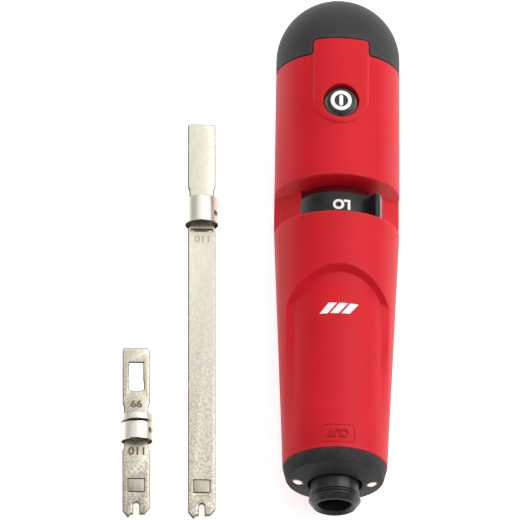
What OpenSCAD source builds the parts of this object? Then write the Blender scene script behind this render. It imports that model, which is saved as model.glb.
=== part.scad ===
// Impact punch down tool lying face up, with its two loose blades beside it.
// Millimetres. Origin: front edge of the blade socket's bore, on the tool's axis.
// +Y runs along the tool to the palm cap, +Z comes out through the light button.

/* [Handle] */
// Where the nose ring meets the red shells
seam_y = 12; // [10:0.5:14]
// Radius of the handle at that seam
seam_r = 15.8; // [15.5:0.1:16]
// Where the handle is widest
belly_y = 91; // [88:1:95]
// Largest radius of the handle
belly_r = 18.9; // [18.7:0.1:19.2]
// Where the shells meet the palm cap
cap_y = 140.4; // [140:0.2:141]
// Radius of the palm cap and of the shells' back end
cap_r = 18.5; // [18.4:0.05:18.6]
// Wall thickness of the shells
wall = 2.1; // [2:0.05:2.2]

/* [Front panel and tongue] */
// Radius of the sunk front panel's floor
panel_r = 16.05; // [16:0.05:16.2]
// Half the width of the sunk front panel
panel_w = 14.25; // [13.5:0.25:14.5]
// Top of the panel's arch
arch_y = 71.2; // [69:0.2:72]
// Radius of the arch in plan
arch_r = 16.8; // [16:0.2:18]
// Half the width of the raised tongue under the button
tongue_w = 8.3; // [8:0.1:8.5]
// Height of the tongue above the handle
tongue_rise = 0.45; // [0.3:0.05:0.5]
// Back end of the tongue, inside the cap's notch
tongue_end = 144.8; // [144:0.2:145]

/* [Selector] */
// Front wall of the cross recess
recess_y0 = 88.3; // [88:0.1:88.5]
// Back wall of the cross recess
recess_y1 = 100.2; // [100:0.1:100.4]
// Distance of the two sloping recess floors from the axis
facet_d = 12; // [11.9:0.05:12.1]
// Half the width of the window that shows the ring
window_w = 11.4; // [11.3:0.05:11.5]
// Outer radius of the selector ring
ring_r = 12.3; // [12.2:0.05:12.35]
// Turn of the selector from LO to HI, in degrees
selector_turn = 108; // [100:1:108]
// How far the spring seat moves over that turn
seat_travel = 3; // [2:0.5:3]

/* [Spindle and hammer] */
// Bore of the blade socket, for a 10 mm blade sleeve
socket_r = 5.05; // [5.03:0.01:5.1]
// Depth of that bore
socket_depth = 9.7; // [9:0.1:10]
// Radius of the flat bore behind it, for the blade's shank
shank_bore_r = 4.4; // [4.3:0.1:4.5]
// Outer radius of the collar's neck
neck_r = 7.35; // [7.3:0.05:7.4]
// Outer radius of the collar's lip
lip_r = 7.86; // [7.8:0.02:7.9]
// Inner radius of the core tube
core_r = 9; // [9:0.05:9.05]
// Stroke of the collar until the hammer trips
stroke = 7; // [5:0.5:7]

/* [Button] */
// Centre of the light button along the tool
button_y = 124.4; // [124:0.1:125]
// Radius of the button's skirt
button_r = 4.87; // [4.8:0.01:4.88]

/* [Blades] */
// Width of both steel blades
blade_w = 8.25; // [8:0.05:8.3]
// Thickness of both blades
blade_t = 1.4; // [1.2:0.1:1.5]
// Radius of the bayonet sleeves
sleeve_r = 5; // [4.95:0.01:5]
// Length of the bayonet sleeves
sleeve_l = 8.3; // [8:0.1:8.5]
// Length of the short blade
short_l = 52.7; // [50:0.1:54]
// Length of the long reach blade
long_l = 127; // [125:0.5:128]
// Side offset of the short blade from the tool's axis
short_x = -59.0; // [-64:0.2:-56]
// Side offset of the long blade from the tool's axis
long_x = -39.8; // [-44:0.5:-36]

/* [Hidden] */
$fn = 96;

eps = 0.01;
far = 60;
taper_y = 21;
taper_r = 16.1;
shoulder_y = 86;
shoulder_r = belly_r - 0.15;
cavity_r = cap_r - wall;
panel_wall = 1.95;
dome_y = cap_y + 4.7;
face_y = 7.7;
face_r = 14.4;
nose_hole_r = 8.2;
led_x = 11.1;
led_r = 1.6;
core_or = core_r + 1;
rib_r = core_or + 0.05;
rib_w = 2;
rib_ys = [17, 49, 77];
slide_gap = 0.08;
wire_z = -13;
mouth_y = -1;
flange_y = 30.1;
hammer_y0 = flange_y + 20.9;
hammer_l = 20;
latch_y = hammer_y0 + 5;
latch_l = 3.9;
latch_shift = 1.5;
pin_r = 2;
seat_y = 93;
lug_y0 = 93.2;
lug_y1 = 96.2;
lug_r = 11.2;
ring_y0 = 89;
ring_y1 = 97.4;
holder_y0 = 106;
holder_y1 = 134;
cell_r = 5.25;
cell_x = 5.6;
cell_y0 = 109;
cell_l = 44.5;
board_z = 7.5;
boss_z = 14.8;
screw_places = [[12.1, 25], [12.9, 64], [13.4, 103.4]];
screw_r = 1.1;
screw_head_r = 2;
tower_r = 2.4;
floor_z = -belly_r;
neck_w = 3.65;
short_sleeve_u = 24.95;
long_sleeve_u = 28.3;

// ---------- shared shapes ----------
module along_y() rotate([-90, 0, 0]) children();
module lathe(points) along_y() rotate_extrude() polygon(points);
module rod(r, y0, y1, x = 0, z = 0) translate([x, y0, z]) along_y() cylinder(r = r, h = y1 - y0);
module tube(ro, ri, y0, y1) difference() { rod(ro, y0, y1); rod(ri, y0 - eps, y1 + eps); }
module plan(z0, z1) translate([0, 0, z0]) linear_extrude(z1 - z0) children();
module section(y0, y1) translate([0, y1, 0]) rotate([90, 0, 0]) linear_extrude(y1 - y0) children();
module block(x0, x1, y0, y1, z0, z1) translate([x0, y0, z0]) cube([x1 - x0, y1 - y0, z1 - z0]);
function polar(a, r) = [r * sin(a), r * cos(a)];

// a coil spring about the Y axis, swept as a six-sided wire
module coil(mean_r, wire_r, y0, y1, turns, per_turn = 14) {
  sides = 6;
  rings = turns * per_turn;
  rise = (y1 - y0 - 2 * wire_r) / rings;
  points = [for (i = [0:rings]) for (s = [0:sides - 1])
    let (turn = 360 * i / per_turn, side = 360 * s / sides, r = mean_r + wire_r * cos(side))
    [r * cos(turn), y0 + wire_r + rise * i + wire_r * sin(side), r * sin(turn)]];
  skin = [for (i = [0:rings - 1]) for (s = [0:sides - 1])
    let (a = i * sides + s, b = i * sides + (s + 1) % sides)
    [a, b, b + sides, a + sides]];
  ends = [[for (s = [sides - 1:-1:0]) s], [for (s = [0:sides - 1]) rings * sides + s]];
  polyhedron(points, concat(skin, ends), convexity = 10);
}

// ---------- handle shells ----------
outer_line = [[seam_y, seam_r], [taper_y, taper_r], [shoulder_y, shoulder_r], [belly_y, belly_r],
  [cap_y, cap_r]];
module handle_body() lathe(concat([[0, seam_y]], [for (p = outer_line) [p[1], p[0]]], [[0, cap_y]]));
// hollows inside the shells, one between each pair of ribs
thin_r = panel_r - panel_wall;
arch_end = arch_y + wall;
hollow_lines = [
  [[seam_r - wall, seam_y - eps], [thin_r, rib_ys[0]]],
  [[thin_r, rib_ys[0] + rib_w], [thin_r, rib_ys[1]]],
  [[thin_r, rib_ys[1] + rib_w], [thin_r, arch_end], [cavity_r - 0.4, arch_end],
    [cavity_r - 0.3, rib_ys[2]]],
  [[cavity_r - 0.2, rib_ys[2] + rib_w], [cavity_r + 0.2, recess_y0 - rib_w]],
  [[ring_r + 0.2, ring_y0 - 0.1], [ring_r + 0.2, ring_y1 + 0.1]],
  [[cavity_r, recess_y1 + rib_w], [cavity_r, cap_y + eps]]];
module hollows() for (line = hollow_lines)
  lathe(concat([[0, line[0][1]]], line, [[0, line[len(line) - 1][1]]]));

module panel_outline() {
  arch_mid = arch_y - arch_r;
  side_top = arch_mid + sqrt(arch_r * arch_r - panel_w * panel_w);
  translate([-panel_w, 0]) square([2 * panel_w, side_top]);
  intersection() {
    translate([0, arch_mid]) circle(r = arch_r);
    translate([-panel_w, arch_mid]) square([2 * panel_w, arch_r]);
  }
}
module panel_cut() difference() {
  plan(2, far) panel_outline();
  rod(panel_r, 0, arch_y + 5);
}
// the cross recess: two floors at 45 degrees and the window between them
module recess_section() {
  edge_z = facet_d * sqrt(2) - window_w;
  polygon([[-window_w, 4], [window_w, 4], [window_w, edge_z], [far, edge_z - far + window_w],
    [far, far], [-far, far], [-far, edge_z - far + window_w], [-window_w, edge_z]]);
}
module recess_cut() section(recess_y0, recess_y1) recess_section();
module tongue_outline() {
  low = button_y + 0.9;
  corner = 1.3;
  translate([0, low]) circle(r = tongue_w);
  translate([-tongue_w, low]) square([2 * tongue_w, tongue_end - corner - low]);
  translate([-tongue_w + corner, low]) square([2 * (tongue_w - corner), tongue_end - low]);
  for (s = [-1, 1]) translate([s * (tongue_w - corner), tongue_end - corner]) circle(r = corner);
}
module tongue() intersection() {
  plan(2, far) tongue_outline();
  difference() {
    lathe([[0, button_y - 10], [belly_r - 0.1 + tongue_rise, button_y - 10],
      [cap_r + tongue_rise, cap_y], [cap_r + tongue_rise, tongue_end + 1], [0, tongue_end + 1]]);
    rod(cavity_r + 0.15, 0, tongue_end + 2);
  }
}

module at_screws(r, z0, z1)
  for (p = screw_places) for (s = [-1, 1]) translate([s * p[0], p[1], z0])
    cylinder(r = r, h = z1 - z0);
module button_hole() {
  hole_r = button_r + slide_gap;
  translate([0, button_y, boss_z - 1]) cylinder(r = hole_r, h = far);
  translate([0, button_y, belly_r - 2.7]) cylinder(r1 = hole_r, r2 = 5.45, h = 2.95);
  translate([0, button_y, belly_r + 0.25 - eps]) cylinder(r = 5.45, h = far);
}
module half(side) block(-far, far, 0, far * 3, min(0, side * far), max(0, side * far));

module front_shell() color("crimson") difference() {
  union() {
    intersection() { handle_body(); half(1); }
    tongue();
  }
  difference() {
    hollows();
    at_screws(tower_r, -1, 7);
    translate([0, button_y, boss_z]) cylinder(r = 7, h = far);
  }
  rod(rib_r, 0, recess_y1 + rib_w + 1);
  panel_cut();
  recess_cut();
  button_hole();
  at_screws(screw_r, -1, 5.5);
}

module back_shell() color("firebrick") difference() {
  intersection() { handle_body(); half(-1); }
  difference() {
    hollows();
    at_screws(tower_r, -far, 1);
  }
  rod(rib_r, 0, recess_y1 + rib_w + 1);
  recess_cut();
  block(-1.6, 1.6, seam_y + 2, holder_y0, wire_z - 0.9, wire_z + 1.2);
  detent_place() translate([0, 0, ring_r]) cylinder(r = 1.3, h = 4);
  at_screws(screw_r + 0.1, -far, 1);
  at_screws(screw_head_r + 0.15, -far, -5);
}

module shell_screws() color("dimgray")
  for (p = screw_places) for (s = [-1, 1]) translate([s * p[0], p[1], 0]) difference() {
    union() {
      translate([0, 0, -5]) cylinder(r = screw_r - eps, h = 10);
      translate([0, 0, -6.6]) cylinder(r = screw_head_r, h = 1.6);
    }
    translate([0, 0, -7.6]) cylinder(r = 0.8, h = 1.8, $fn = 6);
  }

// ---------- nose and lights ----------
module nose_ring() color("dimgray") difference() {
  lathe([[nose_hole_r, face_y - 1.4], [face_r, face_y], [face_r + 0.35, face_y + 0.5],
    [seam_r, seam_y], [seam_r - wall - 0.05, seam_y], [seam_r - wall - 0.05, seam_y + 1.2],
    [seam_r - 2.8, seam_y + 1.2], [seam_r - 2.8, face_y + 2.1], [nose_hole_r, face_y + 0.9]]);
  for (s = [-1, 1]) rod(led_r + 0.1, 0, face_y + 4, s * led_x);
}
module led(side) translate([side * led_x, 0, 0]) {
  rod(led_r, face_y + 0.5, seam_y + 0.4);
  translate([0, face_y + 0.5, 0]) sphere(r = led_r);
  rod(led_r + 0.25, seam_y + 0.4, seam_y + 1.4);
}
module led_left() color("white") led(-1);
module led_right() color("white") led(1);
module led_board() color("seagreen") tube(seam_r - 2.5, core_or + 0.3, seam_y + 1.4, seam_y + 2.4);
module led_wires() color("gold") for (s = [-1, 1]) {
  rod(0.5, seam_y + 2.4, 112, s * 0.7, wire_z);
  translate([s * 0.7, 112, wire_z]) sphere(r = 0.5);
  translate([s * 0.7, 112, wire_z]) cylinder(r = 0.5, h = -wire_z - board_z);
}

// ---------- impact mechanism ----------
module guide_bush() color("peru") tube(core_r, neck_r + 0.07, seam_y, 29);
module bumper_washer() color("dimgray") tube(core_r - slide_gap, neck_r + 0.3, 29, 30);
module core_tube() color("silver") difference() {
  tube(core_or, core_r, seam_y + 2, 103);
  block(5, 20, latch_y - 0.5, latch_y + latch_l + stroke + 0.5, -2.7, 2.7);
  for (s = [-1, 1]) block(s * 10 - 5, s * 10 + 5, lug_y0 - seat_travel - 0.3, lug_y1 + 0.4,
    -2.15, 2.15);
}
module core_plug() color("silver") rod(core_r, 99, 103);

module blade_collar() color("dimgray") difference() {
  lathe([[0, mouth_y], [6.2, mouth_y], [6.5, mouth_y + 0.15], [lip_r - 0.15, mouth_y + 1.85],
    [lip_r, 1.1], [lip_r, 1.4], [6.9, 1.4], [6.9, 2.8], [neck_r, 2.8], [neck_r, flange_y],
    [core_r - slide_gap, flange_y], [core_r - slide_gap, flange_y + 2.9],
    [5.5, flange_y + 2.9], [5.5, flange_y + 6.9], [0, flange_y + 6.9]]);
  lathe([[0, mouth_y - 1], [6, mouth_y - 1], [6, mouth_y], [socket_r, 0],
    [socket_r, socket_depth], [shank_bore_r, socket_depth], [shank_bore_r, flange_y + 4.9],
    [0, flange_y + 4.9]]);
  for (s = [-1, 1]) translate([0, 2.1, 0]) rotate([0, s * 90, 0])
    cylinder(r = 0.52, h = 8);
}
// wire ring in the groove, with two ends bent inward as the bayonet pins
module lock_ring() color("silver") {
  translate([0, 2.1, 0]) along_y() rotate_extrude() translate([7.25, 0]) circle(r = 0.35);
  for (s = [-1, 1]) translate([s * (socket_r + 0.02), 2.1, 0]) rotate([0, s * 90, 0])
    cylinder(r = 0.45, h = 2.2);
}
module striker_rod() color("silver") {
  rod(3, flange_y + 6.9, latch_y - 8);
  rod(pin_r, latch_y - 8, latch_y);
}
module return_spring() color("silver") coil(6.6, 0.5, flange_y + 2.9, hammer_y0, 6);
module hammer() color("gray") difference() {
  rod(core_r - slide_gap, hammer_y0, hammer_y0 + hammer_l);
  rod(pin_r + 0.1, hammer_y0 - 1, latch_y + 12);
  block(-6, 20, latch_y, latch_y + latch_l + 0.1, -2.55, 2.55);
}
module trip_latch() color("silver") difference() {
  block(-3.5, core_or + 0.1, latch_y + 0.05, latch_y + latch_l, -2.5, 2.5);
  rod(pin_r + 0.1, latch_y - 1, latch_y + latch_l + 1, latch_shift);
}
module latch_spring() color("silver") translate([-6, latch_y + latch_l / 2, 0]) rotate([0, 0, -90])
  coil(1.4, 0.2, 0, 2.5, 4, 10);
module main_spring() color("silver") coil(6.9, 0.9, hammer_y0 + hammer_l, seat_y, 6);
module spring_seat() color("peru") {
  rod(core_r - slide_gap, seat_y, seat_y + 4);
  block(-lug_r, lug_r, lug_y0, lug_y1, -2, 2);
}

// ---------- selector ----------
module selector_ring() color("black") difference() {
  union() {
    difference() {
      tube(ring_r, rib_r, ring_y0, ring_y1);
      rod(lug_r + 0.4, lug_y0 - seat_travel - 0.3, lug_y1 + 0.3);
    }
    section(ring_y0, ring_y1)
      polygon([polar(46, ring_r - 0.4), polar(41, 17.1), polar(63, 15), polar(61.5, ring_r + 0.5),
        polar(59, ring_r - 0.4)]);
  }
  for (a = [0, selector_turn]) rotate([0, -a, 0]) detent_place()
    translate([0, 0, ring_r - 0.6]) cylinder(r = 1.3, h = 2);
}
module detent_place() translate([0, 93.2, 0]) rotate([0, -135, 0]) children();
module detent_ball() color("silver") detent_place() translate([0, 0, ring_r + 1.35]) sphere(r = 1.2);
module detent_spring() color("silver") detent_place() translate([0, 0, ring_r + 2.55])
  rotate([90, 0, 0]) coil(0.9, 0.15, 0, 1.4, 3, 10);

// ---------- battery, switch and button ----------
module battery_holder() color("dimgray") difference() {
  intersection() {
    rod(cavity_r - 0.15, holder_y0, holder_y1);
    block(-far, far, 0, far * 3, -board_z, board_z);
  }
  for (s = [-1, 1]) rod(cell_r + 0.1, holder_y0 + 1.2, holder_y1 + 1, s * cell_x);
}
module battery_cells() color("goldenrod") for (s = [-1, 1]) {
  rod(cell_r, cell_y0, cell_y0 + cell_l - 1, s * cell_x);
  rod(1.9, cell_y0 + cell_l - 1, cell_y0 + cell_l, s * cell_x);
}
module battery_springs() color("silver") for (s = [-1, 1]) translate([s * cell_x, 0, 0])
  coil(3, 0.25, holder_y0 + 1.2, cell_y0, 2, 12);
module switch_board() color("seagreen") block(-7, 7, 112, 133, board_z, board_z + 1.2);
module switch_body() color("dimgray") difference() {
  block(-3, 3, button_y - 3, button_y + 3, board_z + 1.2, board_z + 4.7);
  translate([0, button_y, board_z + 3.2]) cylinder(r = 1.75, h = 5);
}
module switch_plunger() color("ivory") translate([0, button_y, board_z + 4.4])
  cylinder(r = 1.7, h = boss_z - 0.9 - board_z - 4.4);
module light_button() color("black") translate([0, button_y, 0]) difference() {
  union() {
    translate([0, 0, boss_z - 0.9]) cylinder(r = 5.7, h = 0.8);
    translate([0, 0, boss_z - 0.2]) cylinder(r = button_r, h = 2.7);
    translate([0, 0, boss_z + 2.5]) cylinder(r1 = button_r, r2 = 3.65, h = 1.5);
  }
  translate([0, 0, boss_z + 3.8]) button_mark(0.5);
}
module button_mark(h) {
  difference() { cylinder(r = 3.2, h = h); translate([0, 0, -1]) cylinder(r = 2.05, h = h + 2); }
  translate([-0.6, -1.8, 0]) cube([1.2, 3.6, h]);
}
module button_symbol() color("white") translate([0, button_y, boss_z + 3.8]) button_mark(0.2);

// ---------- palm cap ----------
module palm_cap() color("dimgray") difference() {
  union() { rod(cap_r, cap_y + 0.05, dome_y); translate([0, dome_y, 0]) sphere(r = cap_r); }
  rod(cavity_r - 0.05, cap_y - 30, dome_y);
  translate([0, dome_y, 0]) sphere(r = cavity_r - 0.05);
  block(-far, far, 60, cap_y + 0.05, -far, far);
  plan(2, far) intersection() {
    offset_tongue();
    translate([-far, cap_y - 1]) square([2 * far, 20]);
  }
}
module offset_tongue() {
  gap = 0.3;
  corner = 1.6;
  w = tongue_w + gap;
  top = tongue_end + gap;
  translate([-w, cap_y - 2]) square([2 * w, top - corner - cap_y + 2]);
  translate([-w + corner, cap_y - 2]) square([2 * (w - corner), top - cap_y + 2]);
  for (s = [-1, 1]) translate([s * (w - corner), top - corner]) circle(r = corner);
}
module cap_core() color("gray") difference() {
  union() {
    rod(cavity_r - 0.1, holder_y1 + 0.6, dome_y);
    translate([0, dome_y, 0]) sphere(r = cavity_r - 0.1);
  }
  rod(cavity_r - 1.6, holder_y1, dome_y);
  translate([0, dome_y, 0]) sphere(r = cavity_r - 1.6);
  block(-far, far, 60, holder_y1 + 0.6, -far, far);
}
module cap_contact() color("silver")
  block(-8.5, 8.5, cell_y0 + cell_l + 0.1, cell_y0 + cell_l + 0.5, -3, 3);

// ---------- blades ----------
// Each blade is drawn flat with its sleeve at the origin and its tip toward -Y, then laid
// on the surface so that the sleeve and the tip both touch it.
module lay(x, y, reach, turn) {
  half = blade_t / 2;
  tilt = asin(sleeve_r / sqrt(reach * reach + half * half)) - atan(half / reach);
  translate([x, y, floor_z + sleeve_r]) rotate([tilt, 0, turn]) children();
}
module lay_short() lay(short_x, 29.07, short_l - short_sleeve_u, 0.93) children();
module lay_long() lay(long_x, 100.55, long_l - long_sleeve_u, 0.545) children();
module strip() translate([0, 0, -blade_t / 2]) linear_extrude(blade_t) children();

// fork at the tip: hooked left prong, bevelled right prong and the slot between them
module fork(tip, slot_w, slot_l, root) difference() {
  w = blade_w / 2;
  translate([0, -tip]) polygon([[-w, root], [-w, 2.1], [-2.5, 0], [-1.7, 1], [-slot_w / 2, 1.1],
    [slot_w / 2, 1], [2.6, 1.1], [w, 3.1], [w, root]]);
  translate([-slot_w / 2, -tip - 1]) square([slot_w, slot_l + 0.4]);
  translate([0, -tip + slot_l - 0.6]) circle(r = slot_w / 2);
}
module cutter_room(y) {
  square_w = 4.8;
  translate([-square_w / 2, y]) square([square_w, 4]);
}
module cutter(y) {
  translate([0, 0, -blade_t / 2]) linear_extrude(blade_t + 0.12)
    translate([-2.35, y + 0.05]) square([4.7, 3.9]);
}
module sleeve() difference() {
  rod(sleeve_r, -sleeve_l / 2, sleeve_l / 2);
  rod(3.74, -sleeve_l, sleeve_l);
  translate([4.5, -1.2, 3.4]) rotate([0, 45, 0]) cylinder(r = 0.65, h = 4, center = true);
}
module sleeve_slot() {
  block(-3.3, 3.2, 0.9, 2.2, 3.9, 6);
  block(-3.3, -1.9, -6, 2.2, 3.6, 6);
}

module short_outline() difference() {
  w = blade_w / 2;
  top = short_sleeve_u;
  union() {
    translate([-w + 1, top - 1]) circle(r = 1);
    translate([w - 1, top - 1]) circle(r = 1);
    translate([-w + 1, top - 17.1]) square([2 * w - 2, 17.1]);
    translate([-w, top - 17.1]) square([2 * w, 16.1]);
    polygon([[-w, top - 17.1], [-neck_w, top - 18.6], [-neck_w, top - 31.1], [-w, top - 32],
      [w, top - 32], [neck_w, top - 31.1], [neck_w, top - 18.6], [w, top - 17.1]]);
    fork(short_l - top, 1.85, 4.4, short_l - 31.9);
  }
  translate([-2.1, top - 10.3]) square([4.2, 5.7]);
  translate([-2.3, top - 12.4]) square([4.6, 2.2]);
  translate([-1.4, top - 13.3]) square([2.8, 1]);
  for (s = [-1, 1]) translate([s * 1.4, top - 12.4]) circle(r = 0.9);
  cutter_room(top - 44.7);
}
module short_blade() color("wheat") lay_short() strip() short_outline();
module short_sleeve() color("silver") lay_short() difference() { sleeve(); sleeve_slot(); }
module short_cutter() color("tan") lay_short() cutter(short_sleeve_u - 44.7);

module long_outline() difference() {
  w = blade_w / 2;
  top = long_sleeve_u;
  union() {
    translate([-w + 0.6, top - 0.6]) square([2 * w - 1.2, 0.6]);
    translate([-w, top - 20.1]) square([2 * w, 19.5]);
    polygon([[-w, top - 20.1], [-neck_w, top - 21.5], [-neck_w, top - 32.6], [-w, top - 33.6],
      [w, top - 33.6], [neck_w, top - 32.6], [neck_w, top - 21.5], [w, top - 20.1]]);
    fork(long_l - top, 1.7, 4.5, long_l - 33.5);
  }
  translate([-3.15, top - 34.4]) square([6.3, 0.6]);
  cutter_room(top - 118.7);
}
module long_blade() color("wheat") lay_long() strip() long_outline();
module long_sleeve() color("silver") lay_long() sleeve();
module long_cutter() color("tan") lay_long() cutter(long_sleeve_u - 118.7);

front_shell();
back_shell();
nose_ring();
led_left();
led_right();
led_board();
led_wires();
guide_bush();
bumper_washer();
core_tube();
core_plug();
battery_holder();
battery_cells();
battery_springs();
switch_board();
switch_body();
shell_screws();
detent_ball();
detent_spring();
blade_collar();
lock_ring();
striker_rod();
return_spring();
hammer();
main_spring();
trip_latch();
latch_spring();
spring_seat();
selector_ring();
light_button();
button_symbol();
switch_plunger();
palm_cap();
cap_core();
cap_contact();
short_blade();
short_sleeve();
short_cutter();
long_blade();
long_sleeve();
long_cutter();
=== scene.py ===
"""Looks of the impact punch down tool and its two loose blades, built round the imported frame.

Sizes are in millimetres and become metres as each mesh is made. +Y runs to the palm cap.
"""
import math

import bmesh
import bpy
import numpy as np
from mathutils import Matrix, Vector
from mathutils.geometry import delaunay_2d_cdt


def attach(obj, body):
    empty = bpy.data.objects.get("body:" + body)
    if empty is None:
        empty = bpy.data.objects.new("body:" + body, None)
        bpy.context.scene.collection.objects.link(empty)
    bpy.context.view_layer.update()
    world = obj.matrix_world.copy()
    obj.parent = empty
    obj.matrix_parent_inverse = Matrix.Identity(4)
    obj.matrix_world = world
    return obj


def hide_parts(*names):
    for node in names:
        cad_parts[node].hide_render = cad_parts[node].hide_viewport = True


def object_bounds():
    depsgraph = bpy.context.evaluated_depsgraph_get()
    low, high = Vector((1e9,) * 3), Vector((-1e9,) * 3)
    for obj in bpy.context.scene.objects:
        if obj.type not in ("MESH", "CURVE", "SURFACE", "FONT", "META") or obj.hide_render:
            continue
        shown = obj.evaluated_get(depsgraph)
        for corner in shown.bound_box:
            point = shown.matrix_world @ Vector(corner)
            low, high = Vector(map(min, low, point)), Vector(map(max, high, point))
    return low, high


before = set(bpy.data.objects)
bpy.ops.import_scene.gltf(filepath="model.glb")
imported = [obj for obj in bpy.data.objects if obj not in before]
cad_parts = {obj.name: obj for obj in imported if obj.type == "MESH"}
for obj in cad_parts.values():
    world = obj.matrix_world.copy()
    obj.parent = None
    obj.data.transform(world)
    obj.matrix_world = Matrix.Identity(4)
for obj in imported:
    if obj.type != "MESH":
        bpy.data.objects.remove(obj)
cad_box = [list(corner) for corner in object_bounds()]
MM = 0.001

# ---------------------------------------------------------------- camera, light and floor
LEAN, SWING, ROLL = (math.radians(a) for a in (24.0, 3.3, 0.43))
VIEW_WIDTH = 0.156
AIM = Vector((-0.0229, 0.0801, -0.0014))


def camera():
    back = Vector((-math.cos(LEAN) * math.sin(SWING), -math.sin(LEAN), math.cos(LEAN) * math.cos(SWING)))
    right = Vector((math.cos(SWING), 0, math.sin(SWING)))
    up = back.cross(right)
    turn = Matrix.Rotation(ROLL, 3, back)
    axes = Matrix((turn @ right, turn @ up, back)).transposed().to_4x4()
    data = bpy.data.cameras.new("view")
    data.type, data.ortho_scale = "ORTHO", VIEW_WIDTH
    data.clip_end = 5
    eye = bpy.data.objects.new("view", data)
    eye.matrix_world = Matrix.Translation(AIM + back * 0.6) @ axes
    bpy.context.scene.collection.objects.link(eye)
    bpy.context.scene.camera = eye


def softbox(name, place, target, size, watts):
    data = bpy.data.lights.new(name, "AREA")
    data.shape, data.size, data.size_y, data.energy = "RECTANGLE", size[0], size[1], watts
    lamp = bpy.data.objects.new(name, data)
    lamp.location = place
    lamp.rotation_mode = "QUATERNION"
    lamp.rotation_quaternion = (Vector(target) - Vector(place)).to_track_quat("-Z", "Y")
    bpy.context.scene.collection.objects.link(lamp)


# Each softbox: name, place, what it faces, width and height, and watts.
SOFTBOXES = (
    ("key", (0.42, 0.12, 0.5), (0, 0.08, 0), (0.5, 0.6), 3.1),
    ("fill", (-0.5, 0.0, 0.45), (0, 0.08, 0), (0.25, 0.7), 0.3),
    ("head", (-0.05, 0.65, 0.35), (0, 0.1, 0), (0.7, 0.3), 1.1),
    ("top", (-0.05, 0.45, 0.8), (-0.03, 0.08, 0), (0.9, 0.8), 1.7),
)
ROOM_LIGHT, PAPER_TONE, PAPER_GLOW, PAPER_REACH = 0.35, 0.93, 0.62, 2.0


def studio():
    world = bpy.data.worlds.new("studio")
    world.use_nodes = True
    sky = world.node_tree.nodes["Background"]
    sky.inputs["Color"].default_value = (1, 1, 1, 1)
    sky.inputs["Strength"].default_value = ROOM_LIGHT
    bpy.context.scene.world = world
    bpy.context.scene.view_settings.view_transform = "Standard"
    for box in SOFTBOXES:
        softbox(*box)
    floor_z = cad_box[0][2]
    mesh = bpy.data.meshes.new("floor")
    corners = [(x * PAPER_REACH, y * PAPER_REACH, floor_z) for x, y in ((-1, -1), (1, -1), (1, 1), (-1, 1))]
    mesh.from_pydata(corners, [], [(0, 1, 2, 3)])
    floor = bpy.data.objects.new("floor", mesh)
    bpy.context.scene.collection.objects.link(floor)
    paper = bpy.data.materials.new("paper")
    paper.use_nodes = True
    shader = paper.node_tree.nodes["Principled BSDF"]
    shader.inputs["Base Color"].default_value = (PAPER_TONE, PAPER_TONE, PAPER_TONE, 1)
    shader.inputs["Roughness"].default_value = 0.9
    shader.inputs["Emission Color"].default_value = (1, 1, 1, 1)
    shader.inputs["Emission Strength"].default_value = PAPER_GLOW
    mesh.materials.append(paper)


camera()
studio()


# ---------------------------------------------------------------- shader groups
def group(name, inputs, outputs):
    tree = bpy.data.node_groups.new(name, "ShaderNodeTree")
    for label, kind, value in inputs:
        socket = tree.interface.new_socket(label, in_out="INPUT", socket_type=kind)
        socket.default_value = value
    for label, kind in outputs:
        tree.interface.new_socket(label, in_out="OUTPUT", socket_type=kind)
    return tree, tree.nodes.new("NodeGroupInput"), tree.nodes.new("NodeGroupOutput")


def wire(tree, *pairs):
    for source, target in pairs:
        tree.links.new(source, target)


def maths(tree, operation, first, second=None, clamp=False):
    node = tree.nodes.new("ShaderNodeMath")
    node.operation, node.use_clamp = operation, clamp
    for socket, value in zip(node.inputs, (first, second)):
        if value is None:
            continue
        if isinstance(value, (int, float)):
            socket.default_value = value
        else:
            tree.links.new(value, socket)
    return node.outputs[0]


def noise(tree, vector, scale, detail=3.0, roughness=0.5):
    node = tree.nodes.new("ShaderNodeTexNoise")
    node.inputs["Detail"].default_value = detail
    node.inputs["Roughness"].default_value = roughness
    tree.links.new(vector, node.inputs["Vector"])
    if isinstance(scale, (int, float)):
        node.inputs["Scale"].default_value = scale
    else:
        tree.links.new(scale, node.inputs["Scale"])
    return node.outputs["Fac"]


def stretched(tree, vector, scale):
    """A vector scaled along each axis."""
    node = tree.nodes.new("ShaderNodeMapping")
    node.inputs["Scale"].default_value = scale
    tree.links.new(vector, node.inputs["Vector"])
    return node.outputs["Vector"]


def moulded_grain():
    """Spark-eroded mould texture: rounded pits and a slow change of tone."""
    tree, given, made = group("moulded grain", [("Vector", "NodeSocketVector", (0, 0, 0)),
        ("Pit scale", "NodeSocketFloat", 3500.0), ("Tone scale", "NodeSocketFloat", 40.0)],
        [("Height", "NodeSocketFloat"), ("Tone", "NodeSocketFloat")])
    pits = tree.nodes.new("ShaderNodeTexVoronoi")
    pits.feature = "SMOOTH_F1"
    wire(tree, (given.outputs["Vector"], pits.inputs["Vector"]),
        (given.outputs["Pit scale"], pits.inputs["Scale"]))
    fine = noise(tree, given.outputs["Vector"], given.outputs["Pit scale"], 4)
    height = maths(tree, "ADD", maths(tree, "MULTIPLY", pits.outputs["Distance"], 0.6),
        maths(tree, "MULTIPLY", fine, 0.6))
    tone = noise(tree, given.outputs["Vector"], given.outputs["Tone scale"], 5, 0.6)
    wire(tree, (height, made.inputs["Height"]), (tone, made.inputs["Tone"]))
    return tree


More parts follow.
